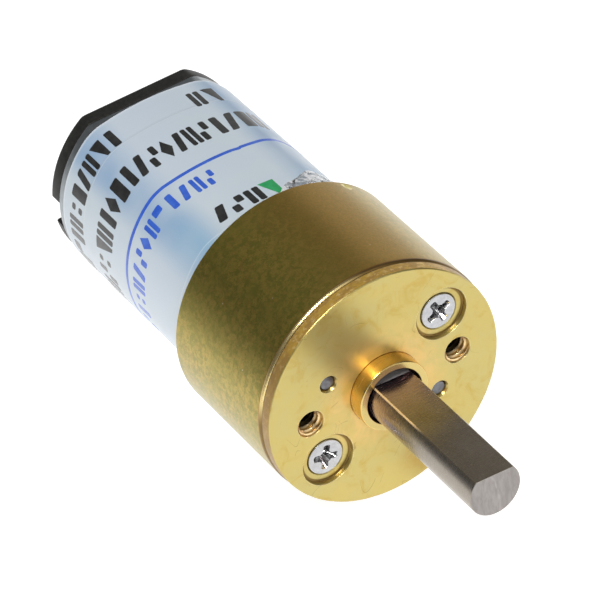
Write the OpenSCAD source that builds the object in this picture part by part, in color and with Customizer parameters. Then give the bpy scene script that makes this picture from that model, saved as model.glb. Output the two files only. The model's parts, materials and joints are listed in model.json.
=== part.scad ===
// Small coaxial spur gearmotor: round brass gearbox, D-shaft output, flat-sided brushed DC motor.
// +X runs along the output shaft towards its tip, +Z is up, and the motor's two flats face up and down.
// The origin is on the shaft axis in the plane of the front plate's mounting face.

/* [Gearbox] */
// Outside diameter of the gearbox housing
gearbox_d = 14; // [13.9:0.1:15]
// Length from the mounting face to the rear edge of the housing
gearbox_len = 9.3; // [9.3:0.1:11]
// Wall thickness of the housing tube
housing_wall = 0.6; // [0.5:0.05:0.6]
// Thickness of the visible rim of the front plate
plate_rim = 0.75; // [0.7:0.05:0.9]
// Full thickness of the front plate, with the spigot that enters the tube
plate_t = 1.15; // [1.1:0.05:1.2]
// Thickness of the rear plate
rear_plate_t = 0.8; // [0.7:0.05:0.9]

/* [Front plate holes] */
// Distance between the two threaded mounting holes
mount_spacing = 9; // [8.8:0.1:9.2]
// Minor diameter of the mounting threads
thread_minor_d = 1.24; // [1.2:0.02:1.3]
// Distance of each cover screw from the shaft axis
screw_r = 4.76; // [4.7:0.02:4.8]
// Angle of the cover screws, measured from +Y towards +Z
screw_angle = 36; // [34:1:38]
// Diameter of the counterbores round the cover screws
counterbore_d = 3.04; // [2.9:0.02:3.1]

/* [Output shaft] */
// Diameter of the output shaft
shaft_d = 3; // [2.9:0.02:3.04]
// Length of the shaft in front of the mounting face
shaft_len = 10.25; // [6:0.25:14]
// Thickness across the flat of the D
flat_across = 2.5; // [2.3:0.05:2.7]
// Distance from the mounting face to the start of the flat
flat_start = 0.8; // [0.75:0.01:1.5]
// Turn of the flat from straight up, at rest
flat_turn = -4; // [-180:1:180]
// Outside diameter of the boss round the shaft
boss_d = 4.15; // [4.1:0.05:4.4]
// Height of the boss in front of the mounting face
boss_h = 0.98; // [0.8:0.02:1.2]

/* [Gear train] */
// Module of all the teeth
gear_module = 0.2; // [0.198:0.001:0.2]
// Thinning of each tooth at the pitch circle, for backlash
tooth_thinning = 0.03; // [0.024:0.002:0.04]
// Angle of axle pin A, measured from +Y towards +Z; pin B is opposite
pin_angle = -31.4; // [-33:0.1:-30]
// Diameter of the axle pins
pin_d = 0.8; // [0.76:0.02:0.8]

/* [Motor] */
// Diameter of the motor can across its round sides
motor_d = 12; // [11.9:0.05:12.1]
// Distance between the can's two flats
motor_flats = 10; // [9.9:0.05:10.2]
// Length of the steel can behind the gearbox
can_len = 14.3; // [14.3:0.05:16]
// Wall thickness of the can
can_wall = 0.45; // [0.4:0.05:0.45]
// Thickness of the end bell's visible rim
end_rim = 0.97; // [0.9:0.01:1]
// Length of the printed label sleeve
label_len = 13.7; // [10:0.1:13.9]
// Thickness of the label film
label_t = 0.09; // [0.08:0.01:0.12]
// How far the film arches above the middle of each flat
label_crown = 0.38; // [0.2:0.02:0.45]

/* [Hidden] */

R = gearbox_d / 2;
Rin = R - housing_wall;
x_rear = -gearbox_len;
x_inner = x_rear + rear_plate_t;
shaft_r = shaft_d / 2;
flat_h = flat_across - shaft_r;
pin_r = pin_d / 2;
boss_r = boss_d / 2;

// Tooth counts: the motor pinion, then gear and pinion of each compound wheel, then the output gear.
z_motor = 13;
z_c1 = 24; z_p = 10;
z_i = 27; z_ip = 14;
z_c = 23;
centre = gear_module * (z_motor + z_c1) / 2;

// Six layers of teeth between the plates.
pitch_x = (gearbox_len - rear_plate_t - plate_t - 0.45) / 6;
gear_w = pitch_x - 0.3;
function layer(k) = x_inner + 0.25 + pitch_x * (k - 1);

ang_a = pin_angle;
ang_b = pin_angle + 180;

// Profile shift used on each pair, positive on the pinion.
s_p = 0.4; s_ip = 0.2; s_m = 0.25;

pressure = 20;
function inv(a) = tan(a) * 180 / PI - a;
function half_angle(z, s, rho) =
    let (r = gear_module * z / 2, rb = r * cos(pressure),
         t = gear_module * (PI / 2 + 2 * s * tan(pressure)) - tooth_thinning)
    t / (2 * r) * 180 / PI + inv(pressure) - inv(acos(min(1, rb / max(rho, rb))));
function tip_r(z, s) = gear_module * (z / 2 + 1 + s) - 0.02;
function root_r(z, s) = gear_module * (z / 2 - 1.25 + s);
function polar(r, a) = [r * cos(a), r * sin(a)];
function tooth_points(z, s, a0) =
    let (rb = gear_module * z / 2 * cos(pressure), rf = root_r(z, s), ra = tip_r(z, s),
         lo = max(rb, rf + 0.001), n = 4, step = 360 / z)
    [for (i = [0 : z - 1]) let (c = a0 + i * step) each concat(
        [polar(rf, c - step / 2)],
        [polar(rf, c - half_angle(z, s, lo) - 0.0)],
        [for (k = [0 : n]) let (rho = lo + (ra - lo) * k / n) polar(rho, c - half_angle(z, s, rho))],
        [for (k = [n : -1 : 0]) let (rho = lo + (ra - lo) * k / n) polar(rho, c + half_angle(z, s, rho))],
        [polar(rf, c + half_angle(z, s, lo))]
    )];

// Tooth phase of a gear that meshes with a gear of z1 teeth, phase a1, seen from it in direction d.
function meshed(z1, a1, d, z2) = let (p1 = (d - a1) * z1 / 360) d + 180 - (0.5 - p1) * 360 / z2;

// Local Z becomes the part's +X, local X its +Y and local Y its +Z.
module along(x = 0) { translate([x, 0, 0]) rotate([90, 0, 90]) children(); }
module at_angle(r, a) { translate([r * cos(a), r * sin(a), 0]) children(); }
module disc(r, x0, x1) { along(x0) cylinder(r = r, h = x1 - x0, $fn = 96); }
module toothed(z, s, a0, x0, x1, bore, px = 0, pa = 0) {
    along(x0) at_angle(px, pa) difference() {
        linear_extrude(x1 - x0) polygon(tooth_points(z, s, a0));
        translate([0, 0, -1]) cylinder(r = bore, h = x1 - x0 + 2, $fn = 48);
    }
}
module can_outline(r, f) { intersection() { circle(r = r, $fn = 128); square([4 * r, 2 * f], center = true); } }

// ---- gearbox shell -------------------------------------------------------

module gear_housing() color([0.50, 0.42, 0.17]) difference() {
    along(x_rear) rotate_extrude($fn = 128) polygon([
        [Rin, 0], [R - 0.05, 0], [R, 0.05], [R, gearbox_len - plate_rim - 0.22],
        [R - 0.10, gearbox_len - plate_rim], [Rin, gearbox_len - plate_rim]]);
    // staking dimples that lock the tube on the rear plate
    for (a = [54, 234]) along(x_rear + 0.42) at_angle(R + 0.16, a) sphere(r = 0.34, $fn = 48);
}

module front_plate() color([0.86, 0.75, 0.42]) difference() {
    along(-plate_t) rotate_extrude($fn = 128) polygon([
        [0, 0], [Rin - 0.02, 0], [Rin - 0.02, plate_t - plate_rim], [R - 0.06, plate_t - plate_rim],
        [R - 0.06, plate_t - 0.07], [R - 0.13, plate_t], [0, plate_t]]);
    disc(boss_r - 0.22, -5, 5);
    disc(boss_r + 0.015, -0.06, 5);
    for (k = [0, 180]) {
        along(-5) at_angle(mount_spacing / 2, k) cylinder(r = thread_minor_d / 2, h = 10, $fn = 48);
        along(-0.14) at_angle(mount_spacing / 2, k) cylinder(r1 = thread_minor_d / 2, r2 = thread_minor_d / 2 + 0.2, h = 0.1401, $fn = 48);
        along(-0.27) at_angle(screw_r, screw_angle + k) cylinder(r = counterbore_d / 2, h = 1, $fn = 64);
        along(-0.77) at_angle(screw_r, screw_angle + k) cylinder(r1 = 0.64, r2 = 1.13, h = 0.5001, $fn = 64);
        along(-5) at_angle(screw_r, screw_angle + k) cylinder(r = 0.64, h = 10, $fn = 48);
        along(-5) at_angle(centre, pin_angle + k) cylinder(r = pin_r, h = 10, $fn = 48);
        along(-0.2) at_angle(centre, pin_angle + k) cylinder(r1 = pin_r, r2 = pin_r + 0.11, h = 0.2001, $fn = 48);
    }
}

module rear_plate() color([0.80, 0.68, 0.36]) difference() {
    disc(Rin - 0.01, x_rear, x_inner);
    disc(2.03, x_rear - 1, x_inner + 1);
    for (k = [0, 180]) {
        along(x_rear - 1) at_angle(centre, pin_angle + k) cylinder(r = pin_r, h = 4, $fn = 48);
        along(x_rear - 1) at_angle(screw_r, screw_angle + k) cylinder(r = 0.6, h = 4, $fn = 48);
        along(x_rear - 1) at_angle(4, 90 + k) cylinder(r = 0.62, h = 4, $fn = 48);
        along(x_inner - 0.42) at_angle(4, 90 + k) cylinder(r1 = 0.62, r2 = 1.04, h = 0.4201, $fn = 48);
    }
}

module output_bush() color([0.87, 0.73, 0.38]) along(0) rotate_extrude($fn = 96) polygon([
    [shaft_r + 0.02, -plate_t], [boss_r - 0.22, -plate_t], [boss_r - 0.22, -0.06], [boss_r, -0.06],
    [boss_r, boss_h - 0.08], [boss_r - 0.08, boss_h], [shaft_r + 0.17, boss_h],
    [shaft_r + 0.15, boss_h - 0.3], [shaft_r + 0.02, boss_h - 0.42]]);

module cover_screw() {
    difference() {
        translate([0, 0, -3.4]) rotate_extrude($fn = 64) polygon([
            [0, 0], [0.52, 0], [0.59, 0.1], [0.59, 2.65], [1.03, 3.05], [1.03, 3.13], [1.01, 3.15], [0, 3.15]]);
        // cross recess with tapering arms
        for (q = [45, 135]) rotate([0, 0, q]) translate([0, 0.14, -0.25]) rotate([90, 0, 0])
            linear_extrude(0.28) polygon([[-0.66, 0.1], [0.66, 0.1], [0.62, -0.1], [0.16, -0.55], [-0.16, -0.55], [-0.62, -0.1]]);
        translate([0, 0, -0.8]) cylinder(r1 = 0.12, r2 = 0.3, h = 0.6, $fn = 32);
    }
}
module cover_screws() color([0.82, 0.82, 0.80]) for (k = [0, 180])
    along(0) at_angle(screw_r, screw_angle + k) rotate([0, 0, k == 0 ? -20 : 31]) cover_screw();

module spacer_pillars() color([0.78, 0.66, 0.34]) for (k = [0, 180])
    along(0) at_angle(screw_r, screw_angle + k) difference() {
        union() {
            translate([0, 0, x_inner]) cylinder(r = 1, h = -plate_t - x_inner, $fn = 64);
            translate([0, 0, x_rear]) cylinder(r = 0.6, h = rear_plate_t + 0.5, $fn = 48);
        }
        translate([0, 0, -4.4]) cylinder(r = 0.6, h = 5, $fn = 48);
    }

module axle_pin(a) along(x_rear + 0.06) at_angle(centre, a) {
    h = gearbox_len - 0.06 - 0.1;
    rotate_extrude($fn = 48) polygon([[0, 0], [pin_r - 0.06, 0], [pin_r, 0.06], [pin_r, h - 0.05], [pin_r - 0.05, h], [0, h]]);
}
module axle_pin_a() color([0.62, 0.63, 0.65]) axle_pin(ang_a);
module axle_pin_b() color([0.62, 0.63, 0.65]) axle_pin(ang_b);

module spacer(a, x0, x1) along(x0) at_angle(centre, a) difference() {
    cylinder(r = 0.66, h = x1 - x0, $fn = 48);
    translate([0, 0, -1]) cylinder(r = pin_r + 0.03, h = x1 - x0 + 2, $fn = 48);
}
module axle_spacers() color([0.83, 0.72, 0.42]) {
    spacer(ang_a, x_inner + 0.03, layer(1) - 0.03);
    spacer(ang_a, layer(2) + gear_w + 0.18, layer(5) - 0.03);
    spacer(ang_a, layer(6) + gear_w + 0.18, -plate_t - 0.03);
    spacer(ang_b, x_inner + 0.03, layer(3) - 0.03);
    spacer(ang_b, layer(4) + gear_w + 0.18, -plate_t - 0.03);
}

module motor_screws() color([0.80, 0.80, 0.78]) for (k = [0, 180])
    along(x_inner) at_angle(4, 90 + k) difference() {
        translate([0, 0, -1.3]) rotate_extrude($fn = 48) polygon([
            [0, 0], [0.52, 0], [0.59, 0.08], [0.59, 0.9], [0.98, 1.24], [0.98, 1.29], [0, 1.29]]);
        translate([-1.2, -0.12, -0.26]) cube([2.4, 0.24, 1]);
    }

// ---- output shaft and gear train ----------------------------------------

module output_shaft() color([0.46, 0.43, 0.39]) difference() {
    along(0) rotate_extrude($fn = 96) polygon([
        [0, layer(1) + gear_w + 0.25], [0.55, layer(1) + gear_w + 0.25], [0.6, layer(1) + gear_w + 0.3],
        [0.6, layer(6)], [1.2, layer(6)], [1.2, layer(6) + gear_w], [shaft_r, layer(6) + gear_w + 0.02],
        [shaft_r, shaft_len - 0.12], [shaft_r - 0.10, shaft_len], [0, shaft_len]]);
    // the flat, with the arc left by the cutter where it lifts out
    rotate([flat_turn, 0, 0]) {
        translate([flat_start, -3, flat_h]) cube([shaft_len, 6, 3]);
        translate([flat_start, 3, flat_h + 1.2]) rotate([90, 0, 0]) cylinder(r = 1.2, h = 6, $fn = 64);
    }
}

module output_gear() color([0.85, 0.72, 0.36])
    toothed(z_i, -s_p, meshed(z_p, 0, ang_a + 180, z_i), layer(6), layer(6) + gear_w, 1.2);
module thrust_washer() color([0.75, 0.74, 0.72]) difference() {
    disc(2.1, layer(6) + gear_w + 0.04, -plate_t - 0.04);
    disc(shaft_r + 0.02, -5, 5);
}

// Each compound wheel is a brass gear pressed on the shoulder of a steel pinion.
module compound_gear(z, s, a0, k, hub, px, pa) toothed(z, s, a0, layer(k), layer(k) + gear_w, hub, px, pa);
module compound_pinion(z, s, a0, k, hub, bore, px, pa) along(0) at_angle(px, pa) difference() {
    union() {
        translate([0, 0, layer(k) + gear_w]) linear_extrude(pitch_x + 0.15) polygon(tooth_points(z, s, a0));
        translate([0, 0, layer(k)]) cylinder(r = hub, h = gear_w + 0.2, $fn = 48);
    }
    translate([0, 0, -20]) cylinder(r = bore, h = 40, $fn = 48);
}
pin_bore = pin_r + 0.03;
hub_p = 0.72;
hub_i = 1.05;
journal_bore = 0.63;
module first_cluster_gear() color([0.85, 0.72, 0.36]) compound_gear(z_c1, -s_m, meshed(z_motor, 0, ang_a, z_c1), 1, hub_p, centre, ang_a);
module first_cluster_pinion() color([0.60, 0.61, 0.63]) compound_pinion(z_p, s_p, 0, 1, hub_p, pin_bore, centre, ang_a);
module first_idler_gear() color([0.85, 0.72, 0.36]) compound_gear(z_i, -s_p, meshed(z_p, 0, ang_a + 180, z_i), 2, hub_i, 0, 0);
module first_idler_pinion() color([0.60, 0.61, 0.63]) compound_pinion(z_ip, s_ip, 0, 2, hub_i, journal_bore, 0, 0);
module second_cluster_gear() color([0.85, 0.72, 0.36]) compound_gear(z_c, -s_ip, meshed(z_ip, 0, ang_b, z_c), 3, hub_p, centre, ang_b);
module second_cluster_pinion() color([0.60, 0.61, 0.63]) compound_pinion(z_p, s_p, 0, 3, hub_p, pin_bore, centre, ang_b);
module second_idler_gear() color([0.85, 0.72, 0.36]) compound_gear(z_i, -s_p, meshed(z_p, 0, ang_b + 180, z_i), 4, hub_i, 0, 0);
module second_idler_pinion() color([0.60, 0.61, 0.63]) compound_pinion(z_ip, s_ip, 0, 4, hub_i, journal_bore, 0, 0);
module third_cluster_gear() color([0.85, 0.72, 0.36]) compound_gear(z_c, -s_ip, meshed(z_ip, 0, ang_a, z_c), 5, hub_p, centre, ang_a);
module third_cluster_pinion() color([0.60, 0.61, 0.63]) compound_pinion(z_p, s_p, 0, 5, hub_p, pin_bore, centre, ang_a);

// ---- motor rotor ---------------------------------------------------------

motor_shaft_r = 0.5;
x_can = x_rear - can_len;
x_core0 = x_rear - 9.3;
x_core1 = x_rear - 2.9;
core_r = 3.85;

module motor_pinion() color([0.86, 0.73, 0.38])
    toothed(z_motor, s_m, 0, layer(1) - 0.15, layer(1) + gear_w + 0.05, motor_shaft_r);
module motor_shaft() color([0.66, 0.67, 0.69]) along(x_can - 0.7) rotate_extrude($fn = 48) polygon([
    [0, 0], [0.42, 0], [motor_shaft_r, 0.08], [motor_shaft_r, layer(1) + gear_w + 0.05 - x_can + 0.7], [0, layer(1) + gear_w + 0.05 - x_can + 0.7]]);

module core_section() {
    difference() {
        union() {
            circle(r = 1.25, $fn = 64);
            for (q = [90, 210, 330]) rotate([0, 0, q]) {
                translate([0.8, -0.6]) square([2.7, 1.2]);
                intersection() {
                    difference() { circle(r = core_r, $fn = 128); circle(r = core_r - 0.55, $fn = 128); }
                    polygon([[0, 0], polar(8, -52), polar(8, 52)]);
                }
            }
        }
        circle(r = motor_shaft_r, $fn = 48);
    }
}
module rotor_core() color([0.45, 0.46, 0.48]) along(x_core0) linear_extrude(x_core1 - x_core0) core_section();

module winding_insulators() color([0.75, 0.25, 0.18]) for (x = [x_core0 - 0.27, x_core1 + 0.02])
    along(x) linear_extrude(0.25) difference() {
        union() {
            circle(r = 1.25, $fn = 64);
            for (q = [90, 210, 330]) rotate([0, 0, q]) translate([0.8, -0.62]) square([2.4, 1.24]);
        }
        circle(r = motor_shaft_r + 0.01, $fn = 48);
    }

module rotor_windings() color([0.72, 0.38, 0.18]) for (q = [90, 210, 330])
    along(x_core0 - 0.95) rotate([0, 0, q]) intersection() {
        difference() {
            translate([1.45, -1.7, 0]) cube([2, 3.4, x_core1 - x_core0 + 1.9]);
            translate([1, -0.66, 0.65]) cube([3, 1.32, x_core1 - x_core0 + 0.6]);
        }
        cylinder(r = core_r - 0.62, h = 20, $fn = 96);
        // rounded ends of the coil
        translate([-5, 0, (x_core1 - x_core0 + 1.9) / 2]) rotate([0, 90, 0])
            intersection() {
                cylinder(r = (x_core1 - x_core0 + 1.9) / 2 + 0.01, h = 20, $fn = 96);
                cube([20, 3.4, 40], center = true);
            }
    }

module commutator_hub() color([0.55, 0.16, 0.10]) difference() {
    union() { disc(0.95, x_core0 - 3.1, x_core0 - 1.05); disc(1.5, x_core0 - 1.35, x_core0 - 1.05); }
    disc(motor_shaft_r, x_core0 - 5, x_core0);
}
module commutator_segments() color([0.80, 0.48, 0.25]) for (q = [30, 150, 270])
    along(x_core0 - 3.0) intersection() {
        difference() {
            cylinder(r = 1.25, h = 1.6, $fn = 64);
            translate([0, 0, -1]) cylinder(r = 0.95, h = 4, $fn = 64);
        }
        linear_extrude(3) polygon([[0, 0], polar(6, q - 56), polar(6, q + 56)]);
    }

// ---- motor stator --------------------------------------------------------

motor_r = motor_d / 2;
in_r = motor_r - can_wall;
in_f = motor_flats / 2 - can_wall;

module motor_can() color([0.62, 0.64, 0.66]) difference() {
    union() {
        along(x_can) linear_extrude(can_len) can_outline(motor_r, motor_flats / 2);
        disc(2.0, x_rear - 0.1, x_inner - 0.02);
    }
    along(x_can - 1) linear_extrude(can_len + 1 - 0.5) can_outline(in_r, in_f);
    disc(1.6, x_rear - 5, x_inner - 0.3);
    disc(0.9, x_rear - 5, x_inner + 1);
    for (k = [0, 180]) along(x_rear - 0.55) at_angle(4, 90 + k) cylinder(r = 0.6, h = 1, $fn = 48);
}
module front_bearing() color([0.70, 0.50, 0.28]) difference() {
    disc(1.6, x_rear - 1.0, x_inner - 0.3);
    disc(motor_shaft_r + 0.015, x_rear - 5, 0);
}
module magnets() color([0.22, 0.22, 0.23]) for (q = [0, 180])
    along(x_rear - 11.2) rotate([0, 0, q]) intersection() {
        difference() { cylinder(r = in_r - 0.01, h = 9.8, $fn = 128); translate([0, 0, -1]) cylinder(r = 4.12, h = 12, $fn = 128); }
        linear_extrude(12) polygon([[0, 0], polar(12, -50), polar(12, 50)]);
    }
module magnet_springs() color([0.70, 0.71, 0.73]) for (q = [90, 270])
    along(x_rear - 7.6) rotate([0, 0, q]) intersection() {
        difference() { cylinder(r = 4.4, h = 2.6, $fn = 128); translate([0, 0, -1]) cylinder(r = 4.2, h = 5, $fn = 128); }
        linear_extrude(5) polygon([[0, 0], polar(12, -39), polar(12, 39)]);
    }

end_r = motor_r - 0.05;
end_f = motor_flats / 2;
x_end = x_can - end_rim;
module end_bell() color([0.09, 0.09, 0.09]) difference() {
    union() {
        along(x_end) linear_extrude(end_rim) difference() {
            can_outline(end_r, end_f);
            for (k = [-1, 1]) translate([k * (end_r + 0.55), 0]) square([2, 1.7], center = true);
        }
        // plug that enters the can
        along(x_can) linear_extrude(1.5) difference() {
            can_outline(in_r - 0.02, in_f - 0.02);
            circle(r = 2.6, $fn = 64);
            for (k = [-1, 1]) translate([k * (in_r + 0.4), 0]) square([2, 1.7], center = true);
        }
        disc(2.0, x_end - 0.8, x_end + 0.1);
        for (k = [0, 180]) along(x_end - 0.25) at_angle(3.7, k) linear_extrude(0.3) square([1.3, 2.8], center = true);
    }
    disc(1.3, x_end - 0.5, x_can + 1);
    // slots for the terminal tabs
    for (k = [0, 180]) along(x_end - 2) rotate([0, 0, k]) translate([3.7 - 0.15, -0.75, 0]) cube([0.3, 1.5, 10]);
}
module rear_bearing() color([0.70, 0.50, 0.28]) difference() {
    disc(1.3, x_end - 0.5, x_can + 0.5);
    disc(motor_shaft_r + 0.015, x_end - 5, 0);
}
module terminals() color([0.80, 0.70, 0.45]) for (k = [0, 180])
    along(x_end - 2.0) rotate([0, 0, k]) translate([3.7, 0, 0]) difference() {
        translate([-0.15, -0.75, 0]) cube([0.3, 1.5, end_rim + 2.0 + 3.15]);
        translate([0, 0, 0.9]) rotate([0, 90, 0]) cylinder(r = 0.4, h = 2, center = true, $fn = 32);
    }
// Leaf brushes spring from the terminals and bear on the commutator.
module brushes() color([0.78, 0.55, 0.30]) for (k = [0, 180])
    along(x_core0 - 2.7) rotate([0, 0, k]) linear_extrude(0.8) polygon([
        [3.54, 0.75], [3.54, -0.75], [3.42, -0.75], [3.42, 0.55], [2.6, 2.2], [1.75, 2.2], [1.38, 0.9],
        [1.38, -1.2], [1.26, -1.2], [1.26, 0.95], [1.66, 2.32], [2.68, 2.32], [3.52, 0.75]]);

module label_outline(r, crown) {
    f = motor_flats / 2;
    h = 3.35;
    rb = (h * h + crown * crown) / (2 * crown);
    intersection() {
        circle(r = r, $fn = 128);
        translate([0, f + crown - rb]) circle(r = rb, $fn = 256);
        translate([0, -(f + crown - rb)]) circle(r = rb, $fn = 256);
    }
}
module label_sleeve() color([0.70, 0.79, 0.86]) along(x_rear - label_len - 0.02) difference() {
    linear_extrude(label_len) label_outline(motor_r + label_t, label_crown);
    translate([0, 0, -1]) linear_extrude(label_len + 2) intersection() {
        circle(r = motor_r + 0.005, $fn = 128);
        label_outline(motor_r + 0.005, label_crown - label_t);
    }
}

gear_housing();
front_plate();
rear_plate();
output_bush();
cover_screws();
spacer_pillars();
axle_pin_a();
axle_pin_b();
axle_spacers();
motor_screws();
output_shaft();
output_gear();
thrust_washer();
first_cluster_gear();
first_cluster_pinion();
first_idler_gear();
first_idler_pinion();
second_cluster_gear();
second_cluster_pinion();
second_idler_gear();
second_idler_pinion();
third_cluster_gear();
third_cluster_pinion();
motor_pinion();
motor_shaft();
rotor_core();
rotor_windings();
winding_insulators();
commutator_hub();
commutator_segments();
motor_can();
front_bearing();
rear_bearing();
magnets();
magnet_springs();
end_bell();
terminals();
brushes();
label_sleeve();
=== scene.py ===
import json
import math

import bmesh
import bpy
from mathutils import Matrix, Vector, noise


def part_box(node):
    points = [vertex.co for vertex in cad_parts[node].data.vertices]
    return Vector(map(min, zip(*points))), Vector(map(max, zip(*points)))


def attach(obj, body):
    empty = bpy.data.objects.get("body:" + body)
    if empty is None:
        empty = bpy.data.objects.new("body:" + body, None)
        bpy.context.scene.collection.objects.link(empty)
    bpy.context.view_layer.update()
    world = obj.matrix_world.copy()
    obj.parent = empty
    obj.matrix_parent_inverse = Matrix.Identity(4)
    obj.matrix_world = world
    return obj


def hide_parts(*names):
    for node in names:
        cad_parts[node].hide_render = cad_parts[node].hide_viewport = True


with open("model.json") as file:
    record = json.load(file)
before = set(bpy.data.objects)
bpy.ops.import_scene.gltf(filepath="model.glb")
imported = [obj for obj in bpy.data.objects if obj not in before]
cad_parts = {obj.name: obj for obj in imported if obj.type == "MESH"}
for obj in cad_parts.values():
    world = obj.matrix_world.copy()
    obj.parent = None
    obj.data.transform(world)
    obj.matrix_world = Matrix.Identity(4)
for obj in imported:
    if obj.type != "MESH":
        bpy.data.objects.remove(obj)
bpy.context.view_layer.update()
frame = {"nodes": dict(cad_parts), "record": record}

MM = 0.001
NODES = frame["nodes"]
rad = math.radians

# ---------------------------------------------------------------- sizes, mm
R_BOX = 7.0
R_TUBE = 6.4
X_BOX = -9.3
X_END = -24.57
X_CAN = -23.60
SHAFT_R = 1.5
FLAT_H = 1.0
FLAT_X = 0.80
FLAT_TURN = -4.0
SCREWS = [(4.76, 36.0, 25.0), (4.76, 216.0, 76.0)]
PINS = [(3.7, -31.4), (3.7, 148.6)]


def polar(r, a):
    return r * math.cos(rad(a)), r * math.sin(rad(a))


# ---------------------------------------------------------------- mesh tools
def rounded(points, n=4):
    """A closed outline of (a, b, radius) points with its corners turned into arcs."""
    out = []
    m = len(points)
    for i in range(m):
        a, b, r = points[i]
        if r <= 0:
            out.append((a, b))
            continue
        p = Vector((a, b))
        e = (Vector(points[i - 1][:2]) - p).normalized()
        f = (Vector(points[(i + 1) % m][:2]) - p).normalized()
        turn = e.angle(f)
        d = r / math.tan(turn / 2)
        s, t = p + e * d, p + f * d
        c = p + (e + f).normalized() * (r / math.sin(turn / 2))
        a0, a1 = (s - c), (t - c)
        for k in range(n + 1):
            q = a0.lerp(a1, k / n).normalized() * r
            out.append(tuple(c + q))
    return out


def lathe(profile, cy=0.0, cz=0.0, seg=192):
    """Turns a closed outline of (x, r) about a line along X."""
    verts, rings, faces = [], [], []
    for x, r in profile:
        if r < 1e-6:
            rings.append([len(verts)] * seg)
            verts.append((x, cy, cz))
        else:
            rings.append(list(range(len(verts), len(verts) + seg)))
            for k in range(seg):
                a = 2 * math.pi * k / seg
                verts.append((x, cy + r * math.cos(a), cz + r * math.sin(a)))
    for i in range(len(profile)):
        a, b = rings[i], rings[(i + 1) % len(profile)]
        for k in range(seg):
            m = (k + 1) % seg
            q = []
            for v in (a[k], a[m], b[m], b[k]):
                if v not in q:
                    q.append(v)
            if len(q) > 2:
                faces.append(q)
    return verts, faces


def loft(rings):
    """Joins rings of 3-D points, each with as many points, and closes both ends."""
    verts = [p for ring in rings for p in ring]
    n = len(rings[0])
    faces = []
    for i in range(len(rings) - 1):
        for k in range(n):
            m = (k + 1) % n
            faces.append([i * n + k, i * n + m, (i + 1) * n + m, (i + 1) * n + k])
    faces.append(list(range(n)))
    faces.append(list(range((len(rings) - 1) * n, len(rings) * n)))
    return verts, faces


def mesh_object(name, verts, faces):
    me = bpy.data.meshes.new(name)
    me.from_pydata([(x * MM, y * MM, z * MM) for x, y, z in verts], [], faces)
    bm = bmesh.new()
    bm.from_mesh(me)
    bmesh.ops.remove_doubles(bm, verts=bm.verts, dist=1e-9)
    bmesh.ops.recalc_face_normals(bm, faces=bm.faces)
    bm.to_mesh(me)
    bm.free()
    ob = bpy.data.objects.new(name, me)
    bpy.context.scene.collection.objects.link(ob)
    return ob


def applied(ob):
    """Bakes an object's modifiers into its mesh."""
    dg = bpy.context.evaluated_depsgraph_get()
    dg.update()
    me = bpy.data.meshes.new_from_object(ob.evaluated_get(dg))
    ob.modifiers.clear()
    ob.data = me
    return ob


def cut(ob, *cutters):
    for c in cutters:
        m = ob.modifiers.new("cut", "BOOLEAN")
        m.operation, m.solver, m.object = "DIFFERENCE", "EXACT", c
        applied(ob)
        bpy.data.objects.remove(c)
    bm = bmesh.new()
    bm.from_mesh(ob.data)
    bmesh.ops.remove_doubles(bm, verts=bm.verts, dist=2e-7)
    bmesh.ops.dissolve_degenerate(bm, edges=bm.edges, dist=1e-7)
    bm.to_mesh(ob.data)
    bm.free()
    return ob


def bevel(ob, width, angle=40, segments=2):
    m = ob.modifiers.new("bevel", "BEVEL")
    m.width, m.segments, m.limit_method, m.angle_limit = width * MM, segments, "ANGLE", rad(angle)
    m.use_clamp_overlap = True
    m.harden_normals = False
    return applied(ob)


def flatten(ob, ways, angle):
    """Gives flat machined faces, and whatever runs smoothly into them, exactly the flat's normal."""
    me = ob.data
    normals = [Vector(n.vector) for n in me.corner_normals]
    lim = math.cos(rad(angle))
    for way in ways:
        way = Vector(way)
        flat = set()
        for f in me.polygons:
            if f.normal.dot(way) > 0.9997:
                flat.update(f.vertices)
        for f in me.polygons:
            if f.normal.dot(way) > lim:
                for i in f.loop_indices:
                    if me.loops[i].vertex_index in flat:
                        normals[i] = way
    me.normals_split_custom_set([tuple(n) for n in normals])


def dress(ob, mat, body, replaces=(), angle=30, flats=((1, 0, 0), (-1, 0, 0))):
    me = ob.data
    me.materials.clear()
    me.materials.append(mat)
    me.shade_smooth()
    me.set_sharp_from_angle(angle=rad(angle))
    if flats:
        flatten(ob, flats, angle)
    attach(ob, body)
    if replaces:
        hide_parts(*replaces)
    return ob


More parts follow.
